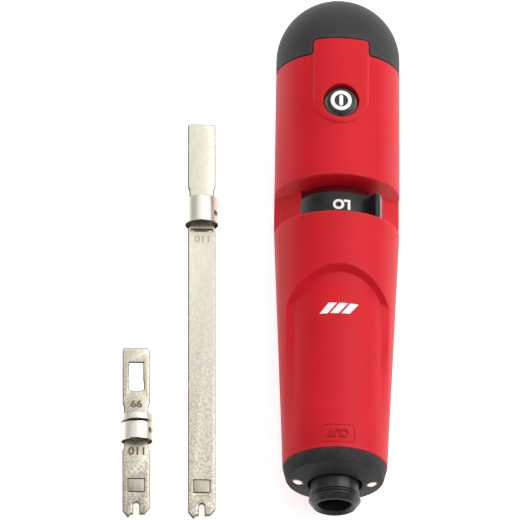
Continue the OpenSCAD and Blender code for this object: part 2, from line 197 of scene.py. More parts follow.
def edge_wear_and_shade():
    """How strongly the edge tone shows, from the piece's own edge attribute, broken up by noise; it is wear
    on scuffed outer edges and painted shade on blade side walls and sleeve hollows.
    """
    tree, given, made = group("edge wear", [("Vector", "NodeSocketVector", (0, 0, 0)),
        ("Patch scale", "NodeSocketFloat", 300.0), ("Reach", "NodeSocketFloat", 1.0)],
        [("Worn", "NodeSocketFloat")])
    edge = tree.nodes.new("ShaderNodeAttribute")
    edge.attribute_name = "edge"
    patch = noise(tree, given.outputs["Vector"], given.outputs["Patch scale"], 4, 0.65)
    reach = maths(tree, "MULTIPLY", edge.outputs["Fac"], given.outputs["Reach"])
    wear_and_shade = maths(tree, "MULTIPLY", reach, maths(tree, "SUBTRACT", maths(tree, "MULTIPLY", patch, 2.6), 0.7,
        True), True)
    wire(tree, (wear_and_shade, made.inputs["Worn"]))
    return tree


def drawn_metal():
    """Fine lines along the blade or round a turned part, over soft mottling."""
    tree, given, made = group("drawn metal", [("Vector", "NodeSocketVector", (0, 0, 0)),
        ("Line scale", "NodeSocketFloat", 900.0), ("Mottle scale", "NodeSocketFloat", 500.0)],
        [("Height", "NodeSocketFloat"), ("Tone", "NodeSocketFloat")])
    lines = noise(tree, given.outputs["Vector"], given.outputs["Line scale"], 2, 0.6)
    mottle = noise(tree, given.outputs["Vector"], given.outputs["Mottle scale"], 5, 0.62)
    wire(tree, (maths(tree, "ADD", maths(tree, "MULTIPLY", lines, 0.4),
        maths(tree, "MULTIPLY", mottle, 0.6)), made.inputs["Height"]), (mottle, made.inputs["Tone"]))
    return tree


GRAIN, WEAR_AND_SHADE, METAL = moulded_grain(), edge_wear_and_shade(), drawn_metal()


def mixed(tree, factor, first, second):
    """A colour between two others, each a constant or a socket."""
    node = tree.nodes.new("ShaderNodeMix")
    node.data_type = "RGBA"
    for socket, value in ((node.inputs[0], factor), (node.inputs[6], first), (node.inputs[7], second)):
        if isinstance(value, (tuple, list)):
            socket.default_value = (*value, 1)
        elif isinstance(value, (int, float)):
            socket.default_value = value
        else:
            tree.links.new(value, socket)
    return node.outputs[2]


def ranged(tree, value, low, high):
    """Spreads the middle of a noise between two values."""
    node = tree.nodes.new("ShaderNodeMapRange")
    node.inputs["From Min"].default_value, node.inputs["From Max"].default_value = 0.3, 0.7
    node.inputs["To Min"].default_value, node.inputs["To Max"].default_value = low, high
    tree.links.new(value, node.inputs["Value"])
    return node.outputs["Result"]


SPECK_SCALE, SPECK_FLOOR, SPECK_GAIN, SPECK_TONE = 1600.0, 0.42, 5.0, (0.28, 0.24, 0.17)


def finish(name, dark, light, rough, metallic=0.0, relief=0.1, texture=None, texture_scales=None,
           stretch=(1, 1, 1), wear_and_shade=None, wear_and_shade_reach=1.0, depth=0.00005, specular=0.5, speckled=None):
    """One surface finish: two close tones, a grain or metal relief, and an edge tone that is wear on some
    pieces and painted shade on others.

    A speckled finish darkens in spots between two places along Y, in metres.
    """
    texture = texture or GRAIN
    made = bpy.data.materials.new(name)
    made.use_nodes = True
    tree = made.node_tree
    shader = tree.nodes["Principled BSDF"]
    place = tree.nodes.new("ShaderNodeTexCoord")
    surface = tree.nodes.new("ShaderNodeGroup")
    surface.node_tree = texture
    wire(tree, (stretched(tree, place.outputs["Object"], stretch), surface.inputs["Vector"]))
    for label, value in (texture_scales or {}).items():
        surface.inputs[label].default_value = value
    wear_and_shade_node = tree.nodes.new("ShaderNodeGroup")
    wear_and_shade_node.node_tree = WEAR_AND_SHADE
    wear_and_shade_node.inputs["Reach"].default_value = wear_and_shade_reach
    wire(tree, (place.outputs["Object"], wear_and_shade_node.inputs["Vector"]))
    tone = ranged(tree, surface.outputs["Tone"], 0.0, 1.0)
    colour = mixed(tree, tone, dark, light)
    colour = mixed(tree, wear_and_shade_node.outputs["Worn"], colour, wear_and_shade or light)
    if speckled:
        along = tree.nodes.new("ShaderNodeSeparateXYZ")
        wire(tree, (place.outputs["Object"], along.inputs[0]))
        low = maths(tree, "DIVIDE", maths(tree, "SUBTRACT", speckled[0], along.outputs["Y"]),
            speckled[0] - speckled[1], True)
        spot = noise(tree, place.outputs["Object"], SPECK_SCALE, 3, 0.6)
        spot = maths(tree, "MULTIPLY", maths(tree, "SUBTRACT", spot, SPECK_FLOOR, True), SPECK_GAIN, True)
        colour = mixed(tree, maths(tree, "MULTIPLY", low, spot), colour, SPECK_TONE)
    rough_out = ranged(tree, surface.outputs["Tone"], rough[0], rough[1])
    bump = tree.nodes.new("ShaderNodeBump")
    bump.inputs["Strength"].default_value = relief
    bump.inputs["Distance"].default_value = depth
    wire(tree, (colour, shader.inputs["Base Color"]), (rough_out, shader.inputs["Roughness"]),
        (surface.outputs["Height"], bump.inputs["Height"]),
        (bump.outputs["Normal"], shader.inputs["Normal"]))
    shader.inputs["Metallic"].default_value = metallic
    shader.inputs["Specular IOR Level"].default_value = specular
    return made


red = finish("red_plastic", (0.55, 0.003, 0.01), (0.64, 0.006, 0.016), (0.44, 0.54), relief=0.35,
    specular=0.22, wear_and_shade=(0.74, 0.06, 0.07), wear_and_shade_reach=0.7, texture_scales={"Pit scale": 2600.0,
    "Tone scale": 60.0})
soft_black = finish("black_plastic", (0.03, 0.0295, 0.029), (0.042, 0.041, 0.04), (0.55, 0.66), relief=0.5,
    specular=0.25, wear_and_shade=(0.1, 0.1, 0.1), texture_scales={"Pit scale": 3200.0, "Tone scale": 50.0})
nose_black = finish("nose_black", (0.015, 0.0145, 0.014), (0.023, 0.022, 0.021), (0.55, 0.66), relief=0.5,
    specular=0.16, wear_and_shade=(0.08, 0.08, 0.08), texture_scales={"Pit scale": 3200.0, "Tone scale": 50.0})
ring_black = finish("ring_black", (0.006, 0.006, 0.0058), (0.011, 0.0105, 0.01), (0.32, 0.44), relief=0.3,
    specular=0.3, wear_and_shade=(0.06, 0.06, 0.06))
button_black = finish("button_black", (0.012, 0.009, 0.008), (0.02, 0.014, 0.012), (0.22, 0.34),
    relief=0.15, wear_and_shade=(0.05, 0.04, 0.04))
white_ink = finish("white_plastic", (0.86, 0.86, 0.85), (0.93, 0.93, 0.92), (0.4, 0.5), relief=0.1)
rubber = finish("dark_rubber", (0.03, 0.03, 0.03), (0.045, 0.045, 0.045), (0.7, 0.8), relief=0.3)
board = finish("circuit_board", (0.01, 0.09, 0.035), (0.015, 0.13, 0.05), (0.35, 0.5), relief=0.1)
sleeving = finish("wire_sleeve", (0.5, 0.36, 0.03), (0.6, 0.43, 0.05), (0.4, 0.5), relief=0.1)
bronze = finish("bronze", (0.42, 0.24, 0.1), (0.5, 0.3, 0.13), (0.35, 0.5), 1.0, texture=METAL)
bright = finish("bright_steel", (0.5, 0.5, 0.5), (0.62, 0.61, 0.6), (0.22, 0.36), 1.0, texture=METAL)
dark = finish("dark_steel", (0.1, 0.1, 0.1), (0.16, 0.16, 0.16), (0.3, 0.45), 1.0, texture=METAL)
blackened = finish("blackened_collar", (0.004, 0.0038, 0.0036), (0.009, 0.0085, 0.008), (0.26, 0.36),
    relief=0.06, texture=METAL, stretch=(1, 4, 1), wear_and_shade=(0.1, 0.095, 0.09), wear_and_shade_reach=0.6, specular=0.4)
deep_red = finish("deep_red", (0.36, 0.002, 0.006), (0.44, 0.003, 0.008), (0.44, 0.54), relief=0.35,
    specular=0.22)
shadow_red = finish("shadowed_red", (0.1, 0.002, 0.004), (0.16, 0.004, 0.006), (0.6, 0.7), specular=0.1)
# Painted shade: the dark brown edge tone darkens the blades' bevels and side walls, standing for the shade
# on them.
nickel = finish("nickel_steel", (0.655, 0.625, 0.52), (0.755, 0.725, 0.61), (0.3, 0.42), 1.0, relief=0.25,
    texture=METAL, texture_scales={"Line scale": 1500.0, "Mottle scale": 1100.0}, stretch=(1, 0.5, 1),
    wear_and_shade=(0.08, 0.06, 0.035), wear_and_shade_reach=3.0, speckled=(0.085, -0.02))
# Painted shade: the dark edge tone darkens the sleeve's groove, dimples and the rounded rims at its ends.
polished = finish("nickel_sleeve", (0.84, 0.79, 0.69), (0.92, 0.88, 0.79), (0.36, 0.46), 1.0, relief=0.12,
    texture=METAL, stretch=(1, 5, 1), wear_and_shade=(0.1, 0.08, 0.05), wear_and_shade_reach=3.0)
ground = finish("ground_steel", (0.42, 0.38, 0.3), (0.56, 0.51, 0.42), (0.34, 0.5), 1.0, relief=0.6,
    texture=METAL, texture_scales={"Line scale": 2600.0, "Mottle scale": 700.0}, stretch=(1, 0.12, 1))
jacket = finish("cell_jacket", (0.35, 0.22, 0.02), (0.42, 0.27, 0.03), (0.3, 0.4), relief=0.05)
laser = finish("laser_mark", (0.16, 0.09, 0.04), (0.24, 0.15, 0.08), (0.4, 0.55), 0.3, relief=0.3,
    texture=METAL)


LAMP_X, LAMP_Y, LAMP_R, FACE_TILT = 11.1, 6.98, 1.55, math.radians(12.7)
GLOW_CORE, RIM_GAIN, LENS_SPECKS, LENS_GLOW = 0.00095, 2200.0, 1400.0, 0.5


def lamp_lens():
    """Warm edge round a bright middle, by distance from the lamp's own axis."""
    made = bpy.data.materials.new("lamp_lens")
    made.use_nodes = True
    tree = made.node_tree
    shader = tree.nodes["Principled BSDF"]
    place = tree.nodes.new("ShaderNodeTexCoord")
    apart = tree.nodes.new("ShaderNodeSeparateXYZ")
    wire(tree, (place.outputs["Object"], apart.inputs[0]))
    side = maths(tree, "SUBTRACT", maths(tree, "ABSOLUTE", apart.outputs["X"]), LAMP_X * MM)
    radius = maths(tree, "SQRT", maths(tree, "ADD", maths(tree, "MULTIPLY", side, side),
        maths(tree, "MULTIPLY", apart.outputs["Z"], apart.outputs["Z"])))
    rim = maths(tree, "MULTIPLY", maths(tree, "SUBTRACT", radius, GLOW_CORE, True), RIM_GAIN, True)
    speck = noise(tree, place.outputs["Object"], LENS_SPECKS, 3)
    rim = maths(tree, "ADD", rim, maths(tree, "MULTIPLY", maths(tree, "SUBTRACT", speck, 0.55, True), 1.2),
        True)
    colour = mixed(tree, rim, (0.95, 0.93, 0.9), (0.62, 0.2, 0.09))
    wire(tree, (colour, shader.inputs["Base Color"]), (colour, shader.inputs["Emission Color"]),
        (ranged(tree, speck, 0.08, 0.2), shader.inputs["Roughness"]))
    bump = tree.nodes.new("ShaderNodeBump")
    bump.inputs["Strength"].default_value, bump.inputs["Distance"].default_value = 0.2, 0.00005
    wire(tree, (speck, bump.inputs["Height"]), (bump.outputs["Normal"], shader.inputs["Normal"]))
    shader.inputs["Emission Strength"].default_value = LENS_GLOW
    shader.inputs["Coat Weight"].default_value = 0.6
    return made


lens = lamp_lens()


# ---------------------------------------------------------------- mesh makers
def linked(name, mesh):
    piece = bpy.data.objects.new(name, mesh)
    bpy.context.scene.collection.objects.link(piece)
    return piece


FULL_BEND = 2500.0


def read_points(mesh, layer="co"):
    values = np.empty(len(mesh.vertices) * 3)
    mesh.vertices.foreach_get(layer, values)
    return values.reshape(-1, 3)


def mark_edges(mesh):
    """Stores how convex each point is, which the wear and shade group reads."""
    count = len(mesh.vertices)
    co, no = read_points(mesh), read_points(mesh, "normal")
    ends = np.empty(len(mesh.edges) * 2, int)
    mesh.edges.foreach_get("vertices", ends)
    ends = ends.reshape(-1, 2)
    way = co[ends[:, 1]] - co[ends[:, 0]]
    length = np.maximum(np.linalg.norm(way, axis=1), 1e-9)
    bend = np.einsum("ij,ij->i", no[ends[:, 1]] - no[ends[:, 0]], way) / length ** 2
    total, share = np.zeros(count), np.zeros(count)
    for side in (0, 1):
        np.add.at(total, ends[:, side], bend)
        np.add.at(share, ends[:, side], 1)
    curve = np.clip(total / np.maximum(share, 1) / FULL_BEND, 0, 1)
    store = mesh.attributes.new("edge", "FLOAT", "POINT")
    store.data.foreach_set("value", curve.astype(np.float32))


def solid(name, points, faces, material, sharp=35.0, recalc=True, wall=None):
    """A piece from points in millimetres, merged, facing outward, with its finish and edge marks."""
    mesh = bpy.data.meshes.new(name)
    mesh.from_pydata((np.asarray(points, float) * MM).tolist(), [], faces)
    shape = bmesh.new()
    shape.from_mesh(mesh)
    bmesh.ops.remove_doubles(shape, verts=shape.verts, dist=2e-6)
    bmesh.ops.dissolve_degenerate(shape, edges=shape.edges, dist=1e-7)
    if recalc:
        bmesh.ops.recalc_face_normals(shape, faces=shape.faces)
    shape.to_mesh(mesh)
    shape.free()
    piece = linked(name, mesh)
    if wall:
        thick = piece.modifiers.new("wall", "SOLIDIFY")
        thick.thickness, thick.offset, thick.use_rim = wall * MM, -1, True
        piece = settled(piece)
    mesh = piece.data
    mesh.shade_smooth()
    mesh.set_sharp_from_angle(angle=math.radians(sharp))
    mesh.materials.clear()
    mesh.materials.append(material)
    mark_edges(mesh)
    return piece


def settled(piece):
    """Turns a piece's modifiers into its mesh, and removes them."""
    graph = bpy.context.evaluated_depsgraph_get()
    made = bpy.data.meshes.new_from_object(piece.evaluated_get(graph), depsgraph=graph)
    name = piece.name
    bpy.data.objects.remove(piece)
    made.name = name
    return linked(name, made)


def rounded(corners, steps=4):
    """A closed line through corners (r, y, fillet), with each corner an arc of that radius."""
    line, count = [], len(corners)
    for i, (r, y, fillet) in enumerate(corners):
        here = np.array((r, y))
        before = np.array(corners[i - 1][:2]) - here
        after = np.array(corners[(i + 1) % count][:2]) - here
        lb, la = np.linalg.norm(before), np.linalg.norm(after)
        if fillet <= 0 or lb < 1e-6 or la < 1e-6:
            line.append(tuple(here)); continue
        before, after = before / lb, after / la
        angle = math.acos(max(-1, min(1, float(before @ after))))
        reach = min(fillet / math.tan(angle / 2), lb * 0.49, la * 0.49)
        if angle > math.pi - 0.02:
            line.append(tuple(here)); continue
        for k in range(steps + 1):
            t = k / steps
            point = here + before * reach * (1 - t) ** 2 + after * reach * t ** 2
            line.append(tuple(point))
    return line


def turned(name, corners, material, about="y", centre=(0, 0, 0), around=128, sharp=35.0, steps=4):
    """A turned piece: a closed outline spun about an axis, its poles closed."""
    line = rounded(corners, steps)
    angles = np.linspace(0, 2 * math.pi, around, endpoint=False)
    points, faces = [], []
    for r, y in line:
        for a in angles:
            spot = (r * math.cos(a), y, r * math.sin(a)) if about == "y" else (r * math.cos(a),
                r * math.sin(a), y)
            points.append(tuple(c + s for c, s in zip(centre, spot)))
    count = len(line)
    for i in range(count):
        j = (i + 1) % count
        if line[i][0] < 1e-6 and line[j][0] < 1e-6:
            continue
        for k in range(around):
            m = (k + 1) % around
            faces.append((i * around + k, i * around + m, j * around + m, j * around + k))
    return solid(name, points, faces, material, sharp)


class Skin:
    """Points and fixed lines on an unrolled surface, joined by Delaunay triangles."""

    def __init__(self):
        self.points, self.lines = [], []

    def line(self, points, closed=False):
        start, count = len(self.points), len(points)
        self.points += [tuple(map(float, p)) for p in points]
        self.lines += [(start + i, start + i + 1) for i in range(count - 1)]
        if closed:
            self.lines.append((start + count - 1, start))

    def fill(self, low, high, step, clear=0.4):
        cell = clear
        taken = {(int(x // cell), int(y // cell)) for x, y in self.points}
        row = 0
        y = low[1]
        while y <= high[1]:
            x = low[0] + (step / 2 if row % 2 else 0)
            while x <= high[0]:
                i, j = int(x // cell), int(y // cell)
                if not any((i + a, j + b) in taken for a in (-1, 0, 1) for b in (-1, 0, 1)):
                    self.points.append((x, y))
                x += step
            y += step * 0.87
            row += 1

    def mesh(self, inside):
        verts, _, faces, *_ = delaunay_2d_cdt([Vector(p) for p in self.points], self.lines, [], 0, 1e-5)
        flat = np.array([tuple(v) for v in verts])
        faces = [f for f in faces if len(f) == 3]
        middle = flat[np.array(faces)].mean(axis=1)
        keep = inside(middle[:, 0], middle[:, 1])
        return flat, [f for f, k in zip(faces, keep) if k]


def spaced(first, second, step=0.5):
    """Points along a straight line, both ends in."""
    first, second = np.array(first, float), np.array(second, float)
    count = max(1, int(np.ceil(np.linalg.norm(second - first) / step)))
    return [tuple(first + (second - first) * i / count) for i in range(count + 1)]


def arc(centre, radius, start, end, step=0.4):
    """Points along an arc, its ends in degrees."""
    count = max(4, int(abs(math.radians(end - start)) * radius / step))
    turns = [math.radians(start + (end - start) * i / count) for i in range(count + 1)]
    return [(centre[0] + radius * math.cos(a), centre[1] + radius * math.sin(a)) for a in turns]


def ramp(t, soft=0.1):
    """0 to 1 with rounded ends."""
    t = np.asarray(t, float)
    up = np.where(t < -soft, 0.0, np.where(t < soft, (t + soft) ** 2 / (4 * soft), t))
    over = 1 - np.where(1 - t < -soft, 0.0, np.where(1 - t < soft, (1 - t + soft) ** 2 / (4 * soft), 1 - t))
    return np.where(t < 0.5, up, over)


def roundoff(distance, radius):
    """How far a surface drops beside an edge with this rounding."""
    inner = np.clip(radius - np.asarray(distance, float), 0, radius)
    return radius - np.sqrt(np.maximum(radius ** 2 - inner ** 2, 0))


def keep(piece, body, *nodes, slot):
    """Rides a piece on its body, in place of the CAD nodes it stands for."""
    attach(piece, body)
    if nodes:
        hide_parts(*nodes)
    return piece


# ---------------------------------------------------------------- handle shells
SEAM_Y, CAP_Y = 12.0, 140.25
OUTLINE = np.array([(8.0, 15.66), (12, 15.8), (21, 16.1), (86, 18.75), (91, 18.9), (140.4, 18.5),
    (150, 18.42)])
PANEL_R, PANEL_X, PANEL_SLOPE = 16.05, 13.05, 2.4
ARCH_Y, ARCH_R, ARCH_SLOPE = 54.4, 14.9, 1.9
PANEL_BACK, TONGUE_FRONT = 80, 110
RECESS = (88.3, 100.2)
FLOOR_REACH, FLOOR_FADES, NO_FLOOR = 16.97, 0.3, 99
WINDOW = math.radians(63.9)
WINDOW_R = 12.5
WALL_FOOT = 10.7
WALL_SLOPE, WALL_EDGE = 0.25, 0.35
TONGUE_X, TONGUE_Y, TONGUE_END, TONGUE_CORNER, TONGUE_RISE = 8.3, 125.3, 144.8, 1.3, 0.45
NECK_FILLET = 1.0
BUTTON_Y, BUTTON_BLEND = 124.4, 6
BUTTON_BOWL = [(0, -4.3), (4.93, -4.3), (4.96, -3.0), (5.04, -2.3), (5.14, -1.6), (5.25, -0.95),
    (5.36, -0.45), (5.46, -0.17), (5.6, -0.05), (5.8, 0)]
SCREWS = [(12.1, 25), (12.9, 64), (13.4, 103.4)]
SCREW_SEAT_Z = -6.35
SCREW_BOWL = [(0, 1), (2.1, 1), (2.13, 0.2), (2.2, 0.06), (2.32, 0.015), (2.5, 0)]


def handle_r(y):
    """Radius of the handle, with the bends of its outline eased over 3 mm."""
    y = np.asarray(y, float)
    spread = np.linspace(-3, 3, 7)
    return np.mean([np.interp(y + s, OUTLINE[:, 0], OUTLINE[:, 1]) for s in spread], axis=0)


def unrolled(points):
    """Places on the unrolled handle of points seen in plan."""
    x, y = np.array(points).T
    r = handle_r(y)
    angle = np.arcsin(np.clip(x / r, -1, 1))
    return [tuple(p) for p in np.stack([angle * r, y], axis=-1)]


def panel_t(x, y):
    """0 on the sunk panel, 1 on the handle's full radius, between them on the slope."""
    side = (np.abs(x) - PANEL_X) / PANEL_SLOPE
    arch = (np.hypot(x, y - ARCH_Y) - ARCH_R) / ARCH_SLOPE
    return np.maximum(side, np.where(y > ARCH_Y, arch, -9))


def tongue_d(x, y):
    """Distance outside the raised tongue's edge, less than 0 on it."""
    return np.where(y < TONGUE_Y, np.hypot(x, y - TONGUE_Y), np.abs(x)) - TONGUE_X


def top_line(off=0.0):
    """Back edge of the front shell in plan, moved into the shell by off."""
    neck = NECK_FILLET + off
    nose = TONGUE_CORNER - off
    half = spaced((0, TONGUE_END - off), (TONGUE_X - TONGUE_CORNER, TONGUE_END - off), 0.3)[:-1]
    half += arc((TONGUE_X - TONGUE_CORNER, TONGUE_END - TONGUE_CORNER), nose, 90, 0, 0.15)
    half += spaced((TONGUE_X - off, TONGUE_END - TONGUE_CORNER), (TONGUE_X - off, CAP_Y + NECK_FILLET),
        0.3)[1:-1]
    half += arc((TONGUE_X + NECK_FILLET, CAP_Y + NECK_FILLET), neck, 180, 270, 0.15)
    reach = handle_r(CAP_Y - off)
    turn = np.linspace(math.asin((TONGUE_X + NECK_FILLET) / reach), math.pi / 2, 60)[1:]
    half += [(reach * math.sin(a), CAP_Y - off) for a in turn]
    return [(-x, y) for x, y in reversed(half[1:])] + half


EDGE_STEPS = (0, 0.03, 0.08, 0.15, 0.25, 0.4)
WALL_STEPS = (-0.45, -0.35, -0.25, -0.15, -0.07, 0, 0.05, 0.1, 0.15, 0.2, 0.25, 0.4)


def recess_r(angle, y, outer):
    """Radius inside the cross recess: two flat floors and the walls that drop to them.

    Past the side of the handle the floors run away, so NO_FLOOR leaves the handle's own radius there.
    """
    q = np.minimum(y - RECESS[0], RECESS[1] - y)
    tilt = np.abs(angle)
    across = np.abs(np.sin(tilt)) + np.cos(tilt)
    floor = np.where(across < FLOOR_FADES, NO_FLOOR, FLOOR_REACH / across)
    floor = floor - roundoff((tilt - WINDOW) * WINDOW_R, 0.3) * (tilt >= WINDOW - 1e-6)
    floor = np.where(tilt < WINDOW - 1e-6, WALL_FOOT, floor)
    floor = np.minimum(floor, outer)
    top = outer - np.where(q < 0, roundoff(-q, WALL_EDGE), WALL_EDGE)
    top = np.maximum(top, floor)
    down = np.clip(q / WALL_SLOPE, 0, 1)
    return np.where(q <= 0, top, top + (floor - top) * down)


SIDE_BAND = 0.98


def handle_point(angle, y, back=False):
    """Where a point of the unrolled handle lies; angle is from +Z (front) or from -Z (back)."""
    outer = handle_r(y)
    drop = roundoff(y - SEAM_Y, 0.25)
    in_recess = (y > RECESS[0] - 1) & (y < RECESS[1] + 1)
    drop = drop + np.where(in_recess, 0, roundoff((math.pi / 2 - np.abs(angle)) * outer, 0.12))
    x = outer * np.sin(angle)
    if back:
        tilt = math.pi - np.abs(angle)
        r = np.where(in_recess, recess_r(tilt, y, outer), outer)
        drop = drop + roundoff(CAP_Y - y, 0.25)
        z = -np.sqrt(np.maximum((r - drop) ** 2 - (x * (r - drop) / outer) ** 2, 0))
        x = x * (r - drop) / outer
        for sx, sy in SCREWS:
            apart = np.hypot(np.abs(outer * np.sin(angle)) - sx, y - sy)
            depth = np.interp(apart, *zip(*SCREW_BOWL))
            well = (depth - 0.5) / 0.5 * (SCREW_SEAT_Z - z) + z + 0.2
            sunk = np.minimum(np.where(depth > 0.5, well, z + depth), SCREW_SEAT_Z)
            z = np.where(apart < SCREW_BOWL[-1][0], sunk, z)
        return np.stack([x, y, z], axis=-1)
    radial = recess_r(angle, y, outer) - drop
    floor_r = np.minimum(PANEL_R, outer)
    r = np.where(y < PANEL_BACK, floor_r + (outer - floor_r) * ramp(panel_t(x, y)), outer)
    rise = TONGUE_RISE * ramp((0.15 - tongue_d(x, y)) / 0.6, 0.2)
    r = r + np.where(y > TONGUE_FRONT, rise, 0)
    line = np.array(top_line())
    near = np.full(np.shape(y), 9.0)
    close = np.nonzero(y > CAP_Y - 1)[0]
    if len(close):
        apart = np.hypot(x[close, None] - line[None, :, 0], y[close, None] - line[None, :, 1])
        near[close] = apart.min(axis=1)
    r = r - drop - roundoff(near, 0.3)
    z = np.sqrt(np.maximum(r ** 2 - x ** 2, 0))
    apart = np.hypot(x, y - BUTTON_Y)
    bowl = np.interp(apart, *zip(*BUTTON_BOWL))
    side = np.where(np.abs(x) > r * SIDE_BAND, x * (r / outer), x)
    z = np.where(apart < BUTTON_BLEND, np.sqrt(np.maximum(r ** 2 - x ** 2, 0)) + bowl, z)
    z = np.where(np.abs(x) > r * SIDE_BAND, np.sqrt(np.maximum(r ** 2 - side ** 2, 0)), z)
    flat = np.stack([side, y, z], axis=-1)
    spun = np.stack([radial * np.sin(angle), y, radial * np.cos(angle)], axis=-1)
    return np.where(in_recess[:, None], spun, flat)


def handle_shell(name, back):
    """Half of the handle, meshed on its unrolled surface so that each edge has its own points."""
    skin = Skin()
    quarter = math.pi / 2
    ys = np.arange(SEAM_Y, CAP_Y + 0.01, 0.7)
    for off in (0, 0.03, 0.08, 0.15):
        for side in (-1, 1):
            line = [((quarter * side * handle_r(y)) - side * off, y) for y in np.append(ys, CAP_Y)]
            skin.line(line)
    reach = quarter * handle_r(SEAM_Y)
    for off in EDGE_STEPS[:-1]:
        skin.line(spaced((-reach, SEAM_Y + off), (reach, SEAM_Y + off), 0.6))
    for wall, sign in ((RECESS[0], 1), (RECESS[1], -1)):
        for step in WALL_STEPS:
            y = wall + sign * step
            span = quarter * handle_r(y)
            skin.line(spaced((-span, y), (span, y), 0.45))
    if back:
        for off in EDGE_STEPS:
            span = quarter * handle_r(CAP_Y - off)
            skin.line(spaced((-span, CAP_Y - off), (span, CAP_Y - off), 0.6))
        for x, y in SCREWS:
            for side in (-1, 1):
                for radius in (2.1, 2.115, 2.13, 2.2, 2.26, 2.32, 2.5, 2.8):
                    skin.line(unrolled(arc((side * x, y), radius, 0, 348, 0.35)), True)
        edge = math.radians(84.5)
        for nudge in (-0.4, 0, 0.4):
            for side in (-1, 1):
                skin.line([(side * (edge * handle_r(y) + nudge), y)
                    for y in np.linspace(RECESS[0], RECESS[1], 24)])
    else:
        for off in EDGE_STEPS:
            skin.line(unrolled(top_line(off)))
        for t in (-0.1, -0.05, 0, 0.05, 0.1, 0.3, 0.5, 0.7, 0.9, 0.95, 1, 1.05, 1.1):
            x, radius = PANEL_X + PANEL_SLOPE * t, ARCH_R + ARCH_SLOPE * t
            knee = math.degrees(math.asin(math.sqrt(radius ** 2 - x ** 2) / radius))
            side = spaced((x, SEAM_Y + 0.5), (x, ARCH_Y + math.sqrt(radius ** 2 - x ** 2)), 0.6)[:-1]
            bow = arc((0, ARCH_Y), radius, knee, 180 - knee, 0.45)
            line = side + bow + [(-a, b) for a, b in reversed(side)]
            skin.line(unrolled(line))
        for d in (-0.6, -0.5, -0.4, -0.3, -0.15, 0, 0.08, 0.18, 0.3):
            top = CAP_Y - 0.5 if d > -0.4 else TONGUE_END - TONGUE_CORNER
            x = TONGUE_X + d
            side = spaced((x, top), (x, TONGUE_Y), 0.4)[:-1]
            line = side + arc((0, TONGUE_Y), x, 0, -180, 0.4) + [(-a, b) for a, b in reversed(side)]
            skin.line(unrolled(line))
        for radius in [spot[0] for spot in BUTTON_BOWL[1:]] + [6.1]:
            skin.line(unrolled(arc((0, BUTTON_Y), radius, 0, 356, 0.33)), True)
        for nudge in (0, 0.08, 0.18, 0.32):
            for side in (-1, 1):
                line = []
                for y in np.linspace(RECESS[0] + WALL_SLOPE, RECESS[1] - WALL_SLOPE, 26):
                    line.append((side * (WINDOW + nudge / WINDOW_R) * handle_r(y), y))
                skin.line(line)
    skin.fill((-30, SEAM_Y + 0.5), (30, TONGUE_END), 0.95)

    def inside(s, y):
        r = handle_r(y)
        angle = s / r
        x = r * np.sin(angle)
        keep = (np.abs(angle) < quarter) & (y > SEAM_Y)
        if back:
            for sx, sy in SCREWS:
                keep &= np.hypot(np.abs(x) - sx, y - sy) > 2.1
            return keep & (y < CAP_Y)
        limit = np.where(np.abs(x) < TONGUE_X - TONGUE_CORNER, TONGUE_END, CAP_Y)
        band = (np.abs(x) >= TONGUE_X - TONGUE_CORNER) & (y > CAP_Y)
        corner = np.hypot(np.abs(x) - (TONGUE_X - TONGUE_CORNER),
            y - (TONGUE_END - TONGUE_CORNER)) < TONGUE_CORNER
        in_tongue = (np.abs(x) < TONGUE_X) & ((y < TONGUE_END - TONGUE_CORNER) | corner)
        in_neck = (np.abs(x) < TONGUE_X + NECK_FILLET) & (y < CAP_Y
            + NECK_FILLET) & (np.hypot(np.abs(x) - TONGUE_X - NECK_FILLET,
            y - CAP_Y - NECK_FILLET) > NECK_FILLET)
        keep &= (y < limit) | (band & (in_tongue | in_neck))
        keep &= np.hypot(x, y - BUTTON_Y) > BUTTON_BOWL[1][0]
        window = (np.abs(angle) < WINDOW) & (y > RECESS[0] + WALL_SLOPE) & (y < RECESS[1] - WALL_SLOPE)
        return keep & ~window

    flat, faces = skin.mesh(inside)
    angle = flat[:, 0] / handle_r(flat[:, 1])
    points = handle_point(np.clip(angle, -quarter, quarter), flat[:, 1], back)
    if back:
        faces = [f[::-1] for f in faces]
    piece = solid(name, points, faces, red, sharp=60, recalc=False, wall=1.2)
    return piece


# The handle stays out of mirror reflections, which keeps the loose sleeves neutral.
for label, node, back in (("handle_front", "front_shell", False), ("handle_back", "back_shell", True)):
    shell = handle_shell(label, back)
    shell.visible_glossy = False
    keep(shell, "handle", node, slot="red_plastic")

# ---------------------------------------------------------------- palm cap
DOME_Y, DOME_R, CAP_GAP = 145.1, 18.5, 0.4
NOTCH_CORNER, NOTCH_FOOT = 1.6, 0.8


def notch_line(off=0.0):
    """Front edge of the palm cap on the unrolled cylinder, moved into the cap by off."""
    base, reach = CAP_Y + CAP_GAP, TONGUE_X + CAP_GAP
    top = TONGUE_END + CAP_GAP
    half = spaced((0, top + off), (reach - NOTCH_CORNER, top + off), 0.3)[:-1]
    half += arc((reach - NOTCH_CORNER, top - NOTCH_CORNER), NOTCH_CORNER + off, 90, 0, 0.15)
    half += arc((reach + NOTCH_FOOT, base + NOTCH_FOOT), NOTCH_FOOT - off, 180, 270, 0.12)
    turn = DOME_R * np.linspace(math.asin((reach + NOTCH_FOOT) / DOME_R), math.pi, 150)
    half = [(DOME_R * math.asin(x / DOME_R), y) for x, y in half] + [(a, base + off) for a in turn]
    return [(-x, y) for x, y in reversed(half[1:])] + half


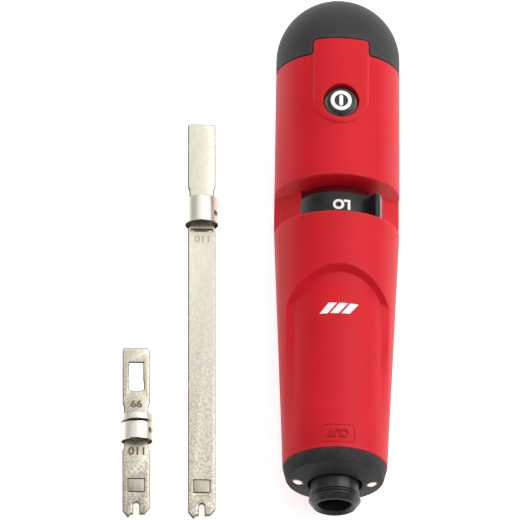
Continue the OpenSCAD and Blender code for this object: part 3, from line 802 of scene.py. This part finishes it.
def palm_cap():
    """The cap: a notched band meshed unrolled, and a dome of rings to a closed pole."""
    skin, around, band_y = Skin(), 180, 147.0
    rim = np.array(notch_line())
    for off in EDGE_STEPS[:-1]:
        skin.line(notch_line(off))
    half = math.pi * DOME_R
    skin.line([(-half + 2 * half * k / around, band_y) for k in range(around + 1)])
    for side in (-half, half):
        skin.line([(side, y) for y in np.linspace(CAP_Y + CAP_GAP, band_y, 9)])
    skin.fill((-half + 0.4, CAP_Y), (half - 0.4, band_y - 0.4), 0.9)
    foot = CAP_Y + CAP_GAP

    def inside(s, y):
        x = np.abs(DOME_R * np.sin(np.clip(s / DOME_R, -1.5, 1.5)))
        reach, top = TONGUE_X + CAP_GAP, TONGUE_END + CAP_GAP
        corner = (x > reach - NOTCH_CORNER) & (y > top - NOTCH_CORNER)
        beyond = np.hypot(x - reach + NOTCH_CORNER, y - top + NOTCH_CORNER) > NOTCH_CORNER
        notch = (x < reach) & (y < top) & ~(corner & beyond)
        toe = (x < reach + NOTCH_FOOT) & (x >= reach) & (y < foot
            + NOTCH_FOOT) & (np.hypot(x - reach - NOTCH_FOOT, y - foot - NOTCH_FOOT) > NOTCH_FOOT)
        cut = (notch | toe) & (np.abs(s) < 1.5 * DOME_R)
        return (np.abs(s) < half) & (y > foot) & (y < band_y) & ~cut

    flat, faces = skin.mesh(inside)
    apart = np.full(len(flat), 9.0)
    low = np.nonzero(flat[:, 1] < TONGUE_END + 1.5)[0]
    apart[low] = np.hypot(flat[low, None, 0] - rim[None, :, 0], flat[low, None, 1] - rim[None, :,
        1]).min(axis=1)
    lift = np.maximum(flat[:, 1] - DOME_Y, 0) / DOME_R
    r = DOME_R * np.cos(lift) - roundoff(apart, 0.32)
    y = np.where(lift > 0, DOME_Y + DOME_R * np.sin(lift), flat[:, 1])
    angle = flat[:, 0] / DOME_R
    points = np.stack([r * np.sin(angle), y, r * np.cos(angle)], axis=-1).tolist()
    start, rows = len(points), 46
    first = (band_y - DOME_Y) / DOME_R
    for i in range(rows):
        lift = first + (math.pi / 2 - first) * i / rows
        for k in range(around):
            a = -math.pi + 2 * math.pi * k / around
            points.append((DOME_R * math.cos(lift) * math.sin(a), DOME_Y + DOME_R * math.sin(lift),
                DOME_R * math.cos(lift) * math.cos(a)))
    points.append((0, DOME_Y + DOME_R, 0))
    for i in range(rows):
        for k in range(around):
            a, b = start + i * around + k, start + i * around + (k + 1) % around
            if i == rows - 1:
                faces.append((a, b, len(points) - 1))
            else:
                faces.append((a, b, b + around, a + around))
    return solid("palm_cap_skin", points, faces, soft_black, sharp=60, wall=1.6)


keep(palm_cap(), "cap", "palm_cap", slot="black_plastic")

# ---------------------------------------------------------------- nose, lamps and collar
keep(turned("nose_cover", [(8.2, 6.3, 0.25), (14.4, 7.7, 0.35), (14.78, 8.25, 0.5), (15.72, 11.85, 0.15),
    (14.4, 11.85, 0.05), (14.4, 13.2, 0.1), (13.0, 13.2, 0.1), (13.0, 9.8, 0.3), (8.2, 8.6, 0.2)],
    nose_black, around=192), "handle", "nose_ring", slot="black_plastic")


def on_face(piece, side):
    """Moves a turned piece to its place on the nose's sloping face."""
    lean = Matrix.Rotation(side * FACE_TILT, 4, "Z")
    piece.data.transform(Matrix.Translation((side * LAMP_X * MM, LAMP_Y * MM, 0)) @ lean)
    return piece


def lamp(name, side):
    """A lens: a low dome on the sloping face, with its barrel going back into the nose."""
    outline = [(0, 0.42, 0), (0.8, 0.36, 0.5), (LAMP_R, 0.02, 0.25), (LAMP_R, -4.3, 0.1), (0, -4.3, 0)]
    return on_face(turned(name, [(r, -y, f) for r, y, f in outline], lens, around=48, steps=6), side)


def bezel(name, side):
    outline = [(LAMP_R, -0.02, 0.02), (1.75, -0.1, 0.06), (2.05, 0.0, 0.06), (2.05, 0.4, 0),
        (LAMP_R, 0.4, 0)]
    return on_face(turned(name, outline, soft_black, around=48), side)


for label, side in (("left", -1), ("right", 1)):
    keep(lamp("lamp_" + label, side), "handle", "led_" + label, slot="lamp_lens")
    keep(bezel("lamp_seat_" + label, side), "handle", slot="black_plastic")

keep(turned("blade_socket_collar", [(0, 37.0, 0), (5.5, 37.0, 0.3), (5.5, 33.0, 0.2), (8.9, 33.0, 0.3),
    (8.9, 30.1, 0.3), (7.35, 30.1, 0.1), (7.35, 2.8, 0.25), (6.9, 2.8, 0.12), (6.9, 1.4, 0.12),
    (7.84, 1.4, 0.1), (7.84, 1.05, 0.25), (7.68, 0.8, 0.15), (6.5, -0.82, 0.3), (6.15, -1.0, 0.12),
    (6.0, -1.0, 0.08), (5.05, 0.0, 0.12), (5.05, 9.7, 0.1), (4.4, 9.7, 0.1), (4.4, 35.0, 0), (0, 35.0, 0)],
    blackened, around=160), "spindle", "blade_collar", slot="dark_steel")
keep(turned("groove_wire", [(7.25 + 0.36 * math.cos(a), 2.1 + 0.36 * math.sin(a), 0)
    for a in np.linspace(0, 2 * math.pi, 14, endpoint=False)], blackened, around=128), "spindle",
    "lock_ring", slot="dark_steel")

# ---------------------------------------------------------------- selector ring
RING_R, RING_TURN = 12.3, 108.0


def letters(name, text, size, depth, material, place, weight=0.0, flip=False, finest=0.5):
    """Raised letters of an exact width and height, laid by place(across, along, up) in millimetres."""
    data = bpy.data.curves.new(name, "FONT")
    data.body, data.extrude, data.offset, data.resolution_u = text, 0.5, weight, 6
    data.bevel_depth, data.bevel_resolution = 0.02, 1
    piece = linked(name, data)
    graph = bpy.context.evaluated_depsgraph_get()
    mesh = bpy.data.meshes.new_from_object(piece.evaluated_get(graph), depsgraph=graph)
    bpy.data.objects.remove(piece)
    co = np.array([tuple(v.co) for v in mesh.vertices])
    low, high = co.min(axis=0), co.max(axis=0)
    co = (co - (low + high) / 2) / (high - low) * (size[0], size[1], depth)
    if flip:
        co[:, :2] *= -1
    for v, c in zip(mesh.vertices, co):
        v.co = c
    shape = bmesh.new()
    shape.from_mesh(mesh)
    bmesh.ops.remove_doubles(shape, verts=shape.verts, dist=1e-4)
    for _ in range(3):
        long = [e for e in shape.edges if e.calc_length() > finest]
        if long:
            bmesh.ops.subdivide_edges(shape, edges=long, cuts=1)
    bmesh.ops.triangulate(shape, faces=shape.faces)
    for v in shape.verts:
        v.co = Vector(place(*v.co))
    points = [tuple(v.co) for v in shape.verts]
    faces = [[v.index for v in f.verts] for f in shape.faces]
    shape.free()
    bpy.data.meshes.remove(mesh)
    return solid(name, points, faces, material, sharp=40)


def round_ring(y, degrees, radius):
    """Wraps flat work on the selector ring."""
    def place(across, along, up):
        angle = math.radians(degrees) + across / radius
        return ((radius + up) * math.sin(angle), y + along, (radius + up) * math.cos(angle))
    return place


def thumb_tab():
    """The tab's outline across the ring, with soft corners, carried along the ring's width."""
    def spot(a, r):
        return (r * math.sin(math.radians(a)), r * math.cos(math.radians(a)))
    corners = [(*spot(45.5, 11.9), 0.1), (*spot(43.6, 14.0), 0.8), (*spot(41.2, 16.9), 0.55),
        (*spot(46.5, 16.95), 0.9), (*spot(62.6, 14.95), 0.9), (*spot(61.2, 13.0), 0.5),
        (*spot(59, 11.9), 0.1)]
    line = rounded(corners, 6)
    rows = [(89.1, 0.95), (89.16, 0.84), (89.8, 0.1), (90.0, 0.0), (97.0, 0.0), (97.16, 0.04),
        (97.26, 0.14), (97.3, 0.28)]
    middle = np.mean(line, axis=0)
    points, faces, count = [], [], len(line)
    for y, inset in rows:
        for x, z in line:
            away = np.array((x, z)) - middle
            x, z = middle + away * (1 - inset / max(np.linalg.norm(away), 0.5))
            points.append((x, y, z))
    for i in range(len(rows) - 1):
        for k in range(count):
            m = (k + 1) % count
            faces.append((i * count + k, i * count + m, (i + 1) * count + m, (i + 1) * count + k))
    for row in (0, len(rows) - 1):
        points.append((middle[0], rows[row][0], middle[1]))
        for k in range(count):
            faces.append((row * count + k, row * count + (k + 1) % count, len(points) - 1))
    return solid("thumb_tab", points, faces, ring_black, sharp=50)


ring = turned("selector_band", [(10.1, 89.0, 0.15), (12.28, 89.0, 0.3), (12.28, 97.4, 0.3),
    (10.1, 97.4, 0.15), (10.1, 96.6, 0.1), (11.6, 96.5, 0.1), (11.6, 89.9, 0.1), (10.1, 89.8, 0.1)],
    ring_black, around=192)
keep(ring, "selector", "selector_ring", slot="button_black")
keep(thumb_tab(), "selector", slot="button_black")
for word, degrees, width in (("LO", 3.5, 5.3), ("HI", RING_TURN + 3.5, 4.4)):
    keep(letters("ring_word_" + word, word, (width, 3.3), 0.06, white_ink,
        round_ring(93.15, degrees, RING_R), weight=0.03, flip=True), "selector", slot="white_plastic")

# ---------------------------------------------------------------- light button
keep(turned("light_button_dome", [(0, 13.95, 0), (5.65, 13.95, 0.2), (5.65, 14.65, 0.2), (4.86, 14.65, 0.1),
    (4.86, 17.15, 1.1), (4.2, 18.35, 0.7), (3.62, 18.72, 0.25), (3.3, 18.72, 0.05), (3.25, 18.64, 0.05),
    (0, 18.62, 0)], button_black, about="z", centre=(0, BUTTON_Y, 0), around=96, steps=6), "button",
    "light_button", slot="button_black")


BAR_R, BAR_HALF = 0.58, 1.2


def power_mark():
    """A ring round an upright bar, standing a little proud of the button."""
    ring_mark = turned("mark_ring", [(2.05, 18.55, 0), (3.18, 18.55, 0), (3.18, 18.78, 0.08),
        (2.05, 18.78, 0.08)], white_ink, about="z", centre=(0, BUTTON_Y, 0), around=96)
    bar = [(BAR_R * math.cos(math.radians(a)), end * BAR_HALF + BAR_R * math.sin(math.radians(a))) for end,
        start in ((1, 0), (-1, 180)) for a in np.linspace(start, start + 180, 13)]
    points, count = [], len(bar)
    for z, scale in ((18.55, 1), (18.72, 1), (18.77, 0.95), (18.79, 0.8)):
        points += [(x * scale, BUTTON_Y + y * (1 - (1 - scale) * 0.3), z) for x, y in bar]
    faces = [(i * count + k, i * count + (k + 1) % count, (i + 1) * count + (k + 1) % count,
        (i + 1) * count + k) for i in range(3) for k in range(count)]
    faces += [tuple(range(count)), tuple(3 * count + k for k in reversed(range(count)))]
    bar_mark = solid("mark_bar", points, faces, white_ink)
    return ring_mark, bar_mark


mark_ring, mark_bar = power_mark()
keep(mark_ring, "button", "button_symbol", slot="white_plastic")
keep(mark_bar, "button", slot="white_plastic")


# ---------------------------------------------------------------- blades
BLADE_W, NECK_W, BLADE_T, SLEEVE_R, SLEEVE_L = 4.125, 3.65, 1.4, 5.0, 8.3
FLOOR = -18.9


def laid(x, y, reach, turn):
    """The place of a blade that rests on its sleeve and its tip."""
    half = BLADE_T / 2
    tilt = math.asin(SLEEVE_R / math.hypot(reach, half)) - math.atan(half / reach)
    return Matrix.Translation(Vector((x, y, FLOOR + SLEEVE_R)) * MM) @ (Matrix.Rotation(math.radians(turn),
        4, "Z") @ Matrix.Rotation(tilt, 4, "X"))


SHORT_TOP, SHORT_TIP, SHORT_CUTTER = 24.95, -27.75, -19.75
LONG_TOP, LONG_TIP, LONG_CUTTER = 28.3, -98.7, -90.4
CUTTER_W, CUTTER_H, CUTTER_GAP = 4.8, 4.0, 0.1
EDGE_BEVEL = 0.28
SHORT, LONG = laid(-59.0, 29.07, -SHORT_TIP, 0.93), laid(-39.8, 100.55, -LONG_TIP, 0.545)


def store_edge(piece, rule):
    """Sets the edge marks of a piece by a rule of its points' places."""
    marks = rule(*read_points(piece.data).T).astype(np.float32)
    piece.data.attributes["edge"].data.foreach_set("value", marks)


def plate(name, outlines, low, high, bevel, material, place):
    """A flat part between two heights, its outlines cut through and its edges softened."""
    data = bpy.data.curves.new(name, "CURVE")
    data.dimensions, data.fill_mode = "2D", "BOTH"
    data.extrude, data.offset = (high - low) / 2 - bevel, -bevel
    data.bevel_depth, data.bevel_resolution = bevel, 2
    for outline in outlines:
        spline = data.splines.new("POLY")
        spline.points.add(len(outline) - 1)
        for point, (x, y) in zip(spline.points, outline):
            point.co = (x, y, 0, 1)
        spline.use_cyclic_u = True
    piece = linked(name, data)
    graph = bpy.context.evaluated_depsgraph_get()
    mesh = bpy.data.meshes.new_from_object(piece.evaluated_get(graph), depsgraph=graph)
    bpy.data.objects.remove(piece)
    points = [(v.co.x, v.co.y, v.co.z + (low + high) / 2) for v in mesh.vertices]
    faces = [tuple(f.vertices) for f in mesh.polygons]
    bpy.data.meshes.remove(mesh)
    piece = solid(name, points, faces, material, sharp=25)
    top = (high - low) / 2 * MM - 1e-6
    # Painted shade: marks the side walls and bevels, where the nickel blades' dark brown edge tone paints
    # shade.
    store_edge(piece, lambda x, y, z: np.abs(z - (low + high) / 2 * MM) < top)
    piece.data.transform(place)
    return piece


def blade_outline(tip, top, neck, corner, slot_w, slot_l):
    """Outer edge of a blade: square end, neck under the sleeve and the two-pronged tip."""
    w, n = BLADE_W, NECK_W
    right = [(2.6, tip + 1.1), (w, tip + 3.1), (w, top - neck[1]), (n, top - neck[1] + 0.95),
        (n, top - neck[0] - 1.4), (w, top - neck[0])] + arc((w - corner, top - corner), corner, 0, 90, 0.15)
    left = [(-x, y) for x, y in reversed(right[2:])] + [(-w, tip + 2.1), (-2.5, tip), (-1.7, tip + 1)]
    slot = [(-slot_w / 2, tip + 1.1)] + [(x, y) for x, y in arc((0, tip + slot_l - slot_w / 2), slot_w / 2,
        180, 0, 0.15)] + [(slot_w / 2, tip + 1.0)]
    return right + left + slot


short_edge = blade_outline(SHORT_TIP, SHORT_TOP, (17.1, 32.0), 1.0, 1.85, 4.7)
window = [(-2.1, SHORT_TOP - 4.6), (2.1, SHORT_TOP - 4.6), (2.1, SHORT_TOP - 10.2), (2.3, SHORT_TOP - 10.4)]
window += arc((1.4, SHORT_TOP - 12.4), 0.9, 0, -90, 0.2) + arc((-1.4, SHORT_TOP - 12.4), 0.9, -90, -180,
    0.2)
window += [(-2.3, SHORT_TOP - 10.4), (-2.1, SHORT_TOP - 10.2)]


def cutter_box(y, gap=0.0):
    """Outline of a cutter's place in its blade, or of the cutter itself with a gap round it."""
    x, low, high = CUTTER_W / 2 - gap, y + gap, y + CUTTER_H - gap
    return [(-x, low), (x, low), (x, high), (-x, high)]


HALF_T = BLADE_T / 2
keep(plate("short_blade_plate", [short_edge, window, cutter_box(SHORT_CUTTER)], -HALF_T, HALF_T, EDGE_BEVEL,
    nickel, SHORT), "short_blade", "short_blade", slot="nickel_steel")
long_edge = blade_outline(LONG_TIP, LONG_TOP, (20.1, 33.6), 0.6, 1.7, 4.8)
slot_line = [(-3.15, LONG_TOP - 34.4), (3.15, LONG_TOP - 34.4), (3.15, LONG_TOP - 33.85),
    (-3.15, LONG_TOP - 33.85)]
keep(plate("long_blade_plate", [long_edge, slot_line, cutter_box(LONG_CUTTER)], -HALF_T, HALF_T, EDGE_BEVEL,
    nickel, LONG), "long_blade", "long_blade", slot="nickel_steel")


def cutter_insert(name, y, place, body, node):
    """A cutter standing a little proud of its blade."""
    outline = cutter_box(y, CUTTER_GAP)
    keep(plate(name, [outline], -HALF_T, HALF_T + 0.1, 0.1, ground, place), body, node, slot="ground_steel")


cutter_insert("short_cutter_insert", SHORT_CUTTER, SHORT, "short_blade", "short_cutter")
cutter_insert("long_cutter_insert", LONG_CUTTER, LONG, "long_blade", "long_cutter")


def sleeve(name, place, fancy):
    """A bayonet sleeve with rounded ends and two dimples; the fancy one has a groove and a raised face."""
    skin, half = Skin(), math.pi * SLEEVE_R
    end = SLEEVE_L / 2
    cuts = [-end, -end + 0.04, -end + 0.1, -end + 0.2, -end + 0.32]
    for y in cuts + [-c for c in cuts]:
        skin.line(spaced((-half, y), (half, y), 0.35))
    for side in (-half, half):
        skin.line([(side, y) for y in np.linspace(-end, end, 18)])
    dimple, bite = (math.radians(53) * SLEEVE_R, -1.15), (math.radians(82) * SLEEVE_R, -1.15)
    for radius in (0.35, 0.55, 0.65, 0.75, 0.9):
        skin.line(arc(dimple, radius, 0, 350, 0.2), True)
    if fancy:
        for y in (1.3, 1.42, 1.5, 1.95, 2.03, 2.15):
            skin.line(spaced((-half, y), (half, y), 0.35))
        for d in (-0.12, 0, 0.12):
            skin.line(spaced((-2.4 + d, -end), (-2.4 + d, -1.2), 0.3)[:-1] + arc((0.1, -1.2), 2.5 - d, 180,
                90, 0.3) + spaced((0.1, 1.3 - d), (4.4, 1.3 - d), 0.3)[1:])
    skin.fill((-half + 0.2, -end + 0.3), (half - 0.2, end - 0.3), 0.42, 0.16)
    flat, faces = skin.mesh(lambda s, y: (np.abs(s) < half) & (np.abs(y) < end))
    s, y = flat[:, 0], flat[:, 1]
    r = SLEEVE_R - roundoff(end - np.abs(y), 0.25)
    r = r - 0.8 * ramp((0.75 - np.hypot(s - dimple[0], y - dimple[1])) / 0.22, 0.2)
    r = r - 0.35 * ramp((0.9 - np.hypot(s - bite[0], y - bite[1])) / 0.3, 0.2)
    if fancy:
        r = r - 0.5 * ramp((0.38 - np.abs(y - 1.73)) / 0.12, 0.2)
        left = np.where(y > -1.2, 2.5 - np.hypot(np.minimum(s - 0.1, 0), y + 1.2), s + 2.4)
        raised = ramp((left + 0.06) / 0.12, 0.2) * (y < 1.6)
        r = r - 0.36 * (1 - raised) * (y < 1.6) * (s < 4.4)
    points = np.stack([r * np.sin(s / SLEEVE_R), y, r * np.cos(s / SLEEVE_R)], axis=-1)
    piece = solid(name, points, faces, polished, sharp=50, wall=1.0)

    # Painted shade: marks the groove, dimples and rounded end rims that take the dark edge tone.
    def sunk(x, y, z):
        r = np.hypot(x, z) / MM
        return np.maximum(np.clip((4.6 - r) / 0.3, 0, 1) * (r > 4.06), 0.8 * ((r > 4.68) & (r < 4.97)))

    store_edge(piece, sunk)
    piece.data.transform(place)
    return piece


def sleeve_plug(name, place, depth):
    """Closes the inside of a sleeve, set back from its ends."""
    end = SLEEVE_L / 2 - depth
    piece = turned(name, [(0, -end, 0), (3.98, -end, 0.05), (3.98, end, 0.05), (0, end, 0)], nickel,
        around=64)
    piece.data.transform(place)
    return piece


keep(sleeve_plug("short_sleeve_plug", SHORT, 0.65), "short_blade", slot="nickel_steel")
keep(sleeve_plug("long_sleeve_plug", LONG, 2.0), "long_blade", slot="nickel_steel")
keep(sleeve("short_blade_sleeve", SHORT, True), "short_blade", "short_sleeve", slot="nickel_steel")
keep(sleeve("long_blade_sleeve", LONG, False), "long_blade", "long_sleeve", slot="nickel_steel")


def on_blade(place, y):
    """Lays flat work on a blade's upper face."""
    def spot(across, along, up):
        return tuple((place @ (Vector((across, y + along, HALF_T + 0.012 + up)) * MM)) / MM)
    return spot


keep(letters("short_word_66", "66", (3.5, 2.4), 0.03, laser, on_blade(SHORT, SHORT_TOP - 17.4),
    weight=0.012), "short_blade", slot="nickel_steel")
keep(letters("short_word_110", "110", (4.9, 2.5), 0.03, laser, on_blade(SHORT, SHORT_TOP - 32.1),
    weight=0.006, flip=True), "short_blade", slot="nickel_steel")
faint = finish("faint_laser_mark", (0.42, 0.36, 0.28), (0.5, 0.43, 0.33), (0.35, 0.5), 0.8, relief=0.3,
    texture=METAL)
keep(letters("long_word_110", "110", (4.4, 2.2), 0.03, faint, on_blade(LONG, LONG_TOP - 37.0), flip=True),
    "long_blade", slot="nickel_steel")


# ---------------------------------------------------------------- springs and screws by Geometry Nodes
def node_tree(name, inputs):
    tree = bpy.data.node_groups.new(name, "GeometryNodeTree")
    ids = {}
    tree.interface.new_socket("Geometry", in_out="INPUT", socket_type="NodeSocketGeometry")
    for label, kind in inputs:
        ids[label] = tree.interface.new_socket(label, in_out="INPUT", socket_type=kind).identifier
    tree.interface.new_socket("Geometry", in_out="OUTPUT", socket_type="NodeSocketGeometry")
    return tree, ids, tree.nodes.new("NodeGroupInput"), tree.nodes.new("NodeGroupOutput")


def coil_tree():
    """A wire of one thickness wound into a coil, by its mean radius, length and turns."""
    tree, ids, given, made = node_tree("coil", [("Mean radius", "NodeSocketFloat"),
        ("Wire radius", "NodeSocketFloat"), ("Length", "NodeSocketFloat"), ("Turns", "NodeSocketFloat"),
        ("Finish", "NodeSocketMaterial")])
    path = tree.nodes.new("GeometryNodeCurveSpiral")
    path.inputs["Resolution"].default_value = 40
    ring = tree.nodes.new("GeometryNodeCurvePrimitiveCircle")
    ring.inputs["Resolution"].default_value = 12
    sweep = tree.nodes.new("GeometryNodeCurveToMesh")
    sweep.inputs["Fill Caps"].default_value = True
    real = tree.nodes.new("GeometryNodeRealizeInstances")
    coat = tree.nodes.new("GeometryNodeSetMaterial")
    wire(tree, (given.outputs["Mean radius"], path.inputs["Start Radius"]),
        (given.outputs["Mean radius"], path.inputs["End Radius"]),
        (given.outputs["Length"], path.inputs["Height"]),
        (given.outputs["Turns"], path.inputs["Rotations"]),
        (given.outputs["Wire radius"], ring.inputs["Radius"]),
        (path.outputs["Curve"], sweep.inputs["Curve"]),
        (ring.outputs["Curve"], sweep.inputs["Profile Curve"]),
        (sweep.outputs["Mesh"], real.inputs["Geometry"]),
        (real.outputs["Geometry"], coat.inputs["Geometry"]),
        (given.outputs["Finish"], coat.inputs["Material"]),
        (coat.outputs["Geometry"], made.inputs["Geometry"]))
    return tree, ids


def scatter_tree():
    """One shape put at every point of the carrying mesh."""
    tree, ids, given, made = node_tree("at points", [("Shape", "NodeSocketObject"),
        ("Size", "NodeSocketFloat"), ("Finish", "NodeSocketMaterial")])
    shape = tree.nodes.new("GeometryNodeObjectInfo")
    spots = tree.nodes.new("GeometryNodeInstanceOnPoints")
    real = tree.nodes.new("GeometryNodeRealizeInstances")
    coat = tree.nodes.new("GeometryNodeSetMaterial")
    wire(tree, (given.outputs["Shape"], shape.inputs["Object"]),
        (shape.outputs["Geometry"], spots.inputs["Instance"]),
        (given.outputs["Size"], spots.inputs["Scale"]), (given.outputs["Geometry"], spots.inputs["Points"]),
        (spots.outputs["Instances"], real.inputs["Geometry"]),
        (real.outputs["Geometry"], coat.inputs["Geometry"]),
        (given.outputs["Finish"], coat.inputs["Material"]),
        (coat.outputs["Geometry"], made.inputs["Geometry"]))
    return tree, ids


COIL, COIL_IDS = coil_tree()
SCATTER, SCATTER_IDS = scatter_tree()


def grown(name, points, tree, ids, values):
    """A piece made by a node tree from points in millimetres."""
    mesh = bpy.data.meshes.new(name)
    mesh.from_pydata([tuple(c * MM for c in p) for p in points], [], [])
    piece = linked(name, mesh)
    modifier = piece.modifiers.new("grown", "NODES")
    modifier.node_group = tree
    for label, value in values.items():
        modifier[ids[label]] = value
    return settled(piece)


def coil(name, mean, thick, length, turns, places):
    """A coil wound along its own Z axis, copied to each place."""
    whole = None
    for place in places:
        piece = grown(name, [(0, 0, 0)], COIL, COIL_IDS,
            {"Mean radius": mean * MM, "Wire radius": thick * MM, "Length": (length - 2 * thick) * MM,
            "Turns": float(turns), "Finish": bright})
        piece.data.transform(place @ Matrix.Translation((0, 0, thick * MM)))
        if whole is None:
            whole = piece
        else:
            joined = bmesh.new()
            joined.from_mesh(whole.data)
            joined.from_mesh(piece.data)
            joined.to_mesh(whole.data)
            joined.free()
            bpy.data.objects.remove(piece)
    whole.data.shade_smooth()
    return whole


def toward(axis, x, y, z):
    """The place of a coil that starts at a point and runs along an axis."""
    turn = Vector(axis).to_track_quat("Z", "X").to_matrix().to_4x4()
    return Matrix.Translation(Vector((x, y, z)) * MM) @ turn


SLANT = math.sqrt(0.5)
keep(coil("hammer_spring", 6.9, 0.9, 22, 6, [toward((0, 1, 0), 0, 71, 0)]), "hammer", "main_spring",
    slot="bright_steel")
keep(coil("collar_return_spring", 6.6, 0.5, 18, 6, [toward((0, 1, 0), 0, 33, 0)]), "spindle",
    "return_spring", slot="bright_steel")
keep(coil("cell_springs", 3, 0.25, 1.8, 2, [toward((0, 1, 0), s * 5.6, 107.2, 0) for s in (-1, 1)]),
    "handle", "battery_springs", slot="bright_steel")
keep(coil("latch_coil", 1.4, 0.2, 2.5, 4, [toward((1, 0, 0), -6, 57.95, 0)]), "latch", "latch_spring",
    slot="bright_steel")
keep(coil("detent_coil", 0.9, 0.15, 1.4, 3, [toward((-SLANT, 0, -SLANT), -14.85 * SLANT, 93.2,
    -14.85 * SLANT)]), "handle", "detent_spring", slot="bright_steel")


def screw_shape():
    """A pan head with a six-sided socket over a plain shank, head up."""
    around = 48
    hexed = [0.8 / math.cos(((a + 30) % 60 - 30) * math.pi / 180) * 0.9
        for a in np.arange(0, 360, 360 / around)]
    rows = [(1.05, -10.0), (1.09, -9.8), (1.09, 0.0), (1.95, 0.0), (2.0, 0.08), (2.0, 1.2), (1.9, 1.45),
        (1.7, 1.58), (1.0, 1.6), (None, 1.6), (None, 0.5)]
    points, faces = [(0, 0, -10.0)], []
    for r, z in rows:
        for k in range(around):
            a, q = 2 * math.pi * k / around, r or hexed[k]
            points.append((q * math.cos(a), q * math.sin(a), z))
    points.append((0, 0, 0.45))
    for k in range(around):
        m = (k + 1) % around
        faces.append((0, 1 + m, 1 + k))
        for i in range(len(rows) - 1):
            a, b = 1 + i * around, 1 + (i + 1) * around
            faces.append((a + k, a + m, b + m, b + k))
        last = 1 + (len(rows) - 1) * around
        faces.append((last + k, last + m, len(points) - 1))
    return solid("screw_pattern", points, faces, dark, sharp=30)


pattern = screw_shape()
pattern.data.transform(Matrix.Rotation(math.pi, 4, "X"))
spots = [(s * x, y, -5.0) for x, y in SCREWS for s in (-1, 1)]
screws = grown("shell_screw_set", spots, SCATTER, SCATTER_IDS,
    {"Shape": pattern, "Size": 1.0, "Finish": dark})
bpy.data.objects.remove(pattern)
screws.data.shade_smooth()
screws.data.set_sharp_from_angle(angle=math.radians(30))
keep(screws, "handle", "shell_screws", slot="dark_steel")


# ---------------------------------------------------------------- mark by the nose
STROKES_Y, CUT_Y = 57.4, 16.5


def round_handle(y0, lift):
    """Wraps flat work on the handle's lower front, upside down to a viewer facing the nose."""
    def place(across, along, up):
        y = y0 + along
        r = float(handle_r(y)) + lift + up
        return (r * math.sin(across / r), y, r * math.cos(across / r))
    return place


def cut_box():
    """The rounded frame round the word, a thin raised bead."""
    wide, high, corner, bead = 5.1, 2.75, 0.9, 0.17
    path = []
    for cx, cy, a in ((1, 1, 0), (-1, 1, 90), (-1, -1, 180), (1, -1, 270)):
        path += arc((cx * (wide - corner), cy * (high - corner)), corner, a, a + 90, 0.2)
    points, faces = [], []
    place, sides = round_handle(CUT_Y, 0), 8
    fine = []
    for first, second in zip(path, path[1:] + path[:1]):
        fine += spaced(first, second, 0.4)[:-1]
    count = len(fine)
    for k, (x, y) in enumerate(fine):
        ahead, behind = np.array(fine[(k + 1) % count]), np.array(fine[k - 1])
        way = ahead - behind
        way = way / np.linalg.norm(way)
        for j in range(sides):
            a = 2 * math.pi * j / sides
            points.append(place(x + way[1] * bead * math.cos(a), y - way[0] * bead * math.cos(a),
                0.09 * math.sin(a)))
    for k in range(count):
        for j in range(sides):
            m, n = (j + 1) % sides, (k + 1) % count
            faces.append((k * sides + j, k * sides + m, n * sides + m, n * sides + j))
    return solid("cut_frame", points, faces, deep_red, sharp=80)


keep(cut_box(), "handle", slot="red_plastic")
keep(letters("cut_word", "CUT", (6.6, 2.7), 0.34, deep_red, round_handle(CUT_Y, 0.1), weight=0.01,
    flip=True, finest=0.35), "handle", slot="red_plastic")


def on_panel(across, along, up):
    """Wraps flat work on the sunk front panel."""
    return ((PANEL_R + up) * math.sin(across / PANEL_R), STROKES_Y + along,
        (PANEL_R + up) * math.cos(across / PANEL_R))


keep(letters("panel_strokes", "///", (12.0, 3.4), 0.06, white_ink, on_panel, weight=0.05, flip=True),
    "handle", slot="white_plastic")

# ---------------------------------------------------------------- the frame's own parts
FINISH_OF = {"led_board": board, "led_wires": sleeving, "guide_bush": bronze, "bumper_washer": rubber,
    "core_tube": shadow_red, "core_plug": dark, "battery_holder": rubber, "battery_cells": jacket,
    "switch_board": board, "switch_body": rubber, "detent_ball": bright, "striker_rod": bright,
    "hammer": dark, "trip_latch": bright, "spring_seat": bronze, "switch_plunger": white_ink,
    "cap_core": ring_black, "cap_contact": bright}
for name, material in FINISH_OF.items():
    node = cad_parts[name]
    for held in node.material_slots:
        held.material = material
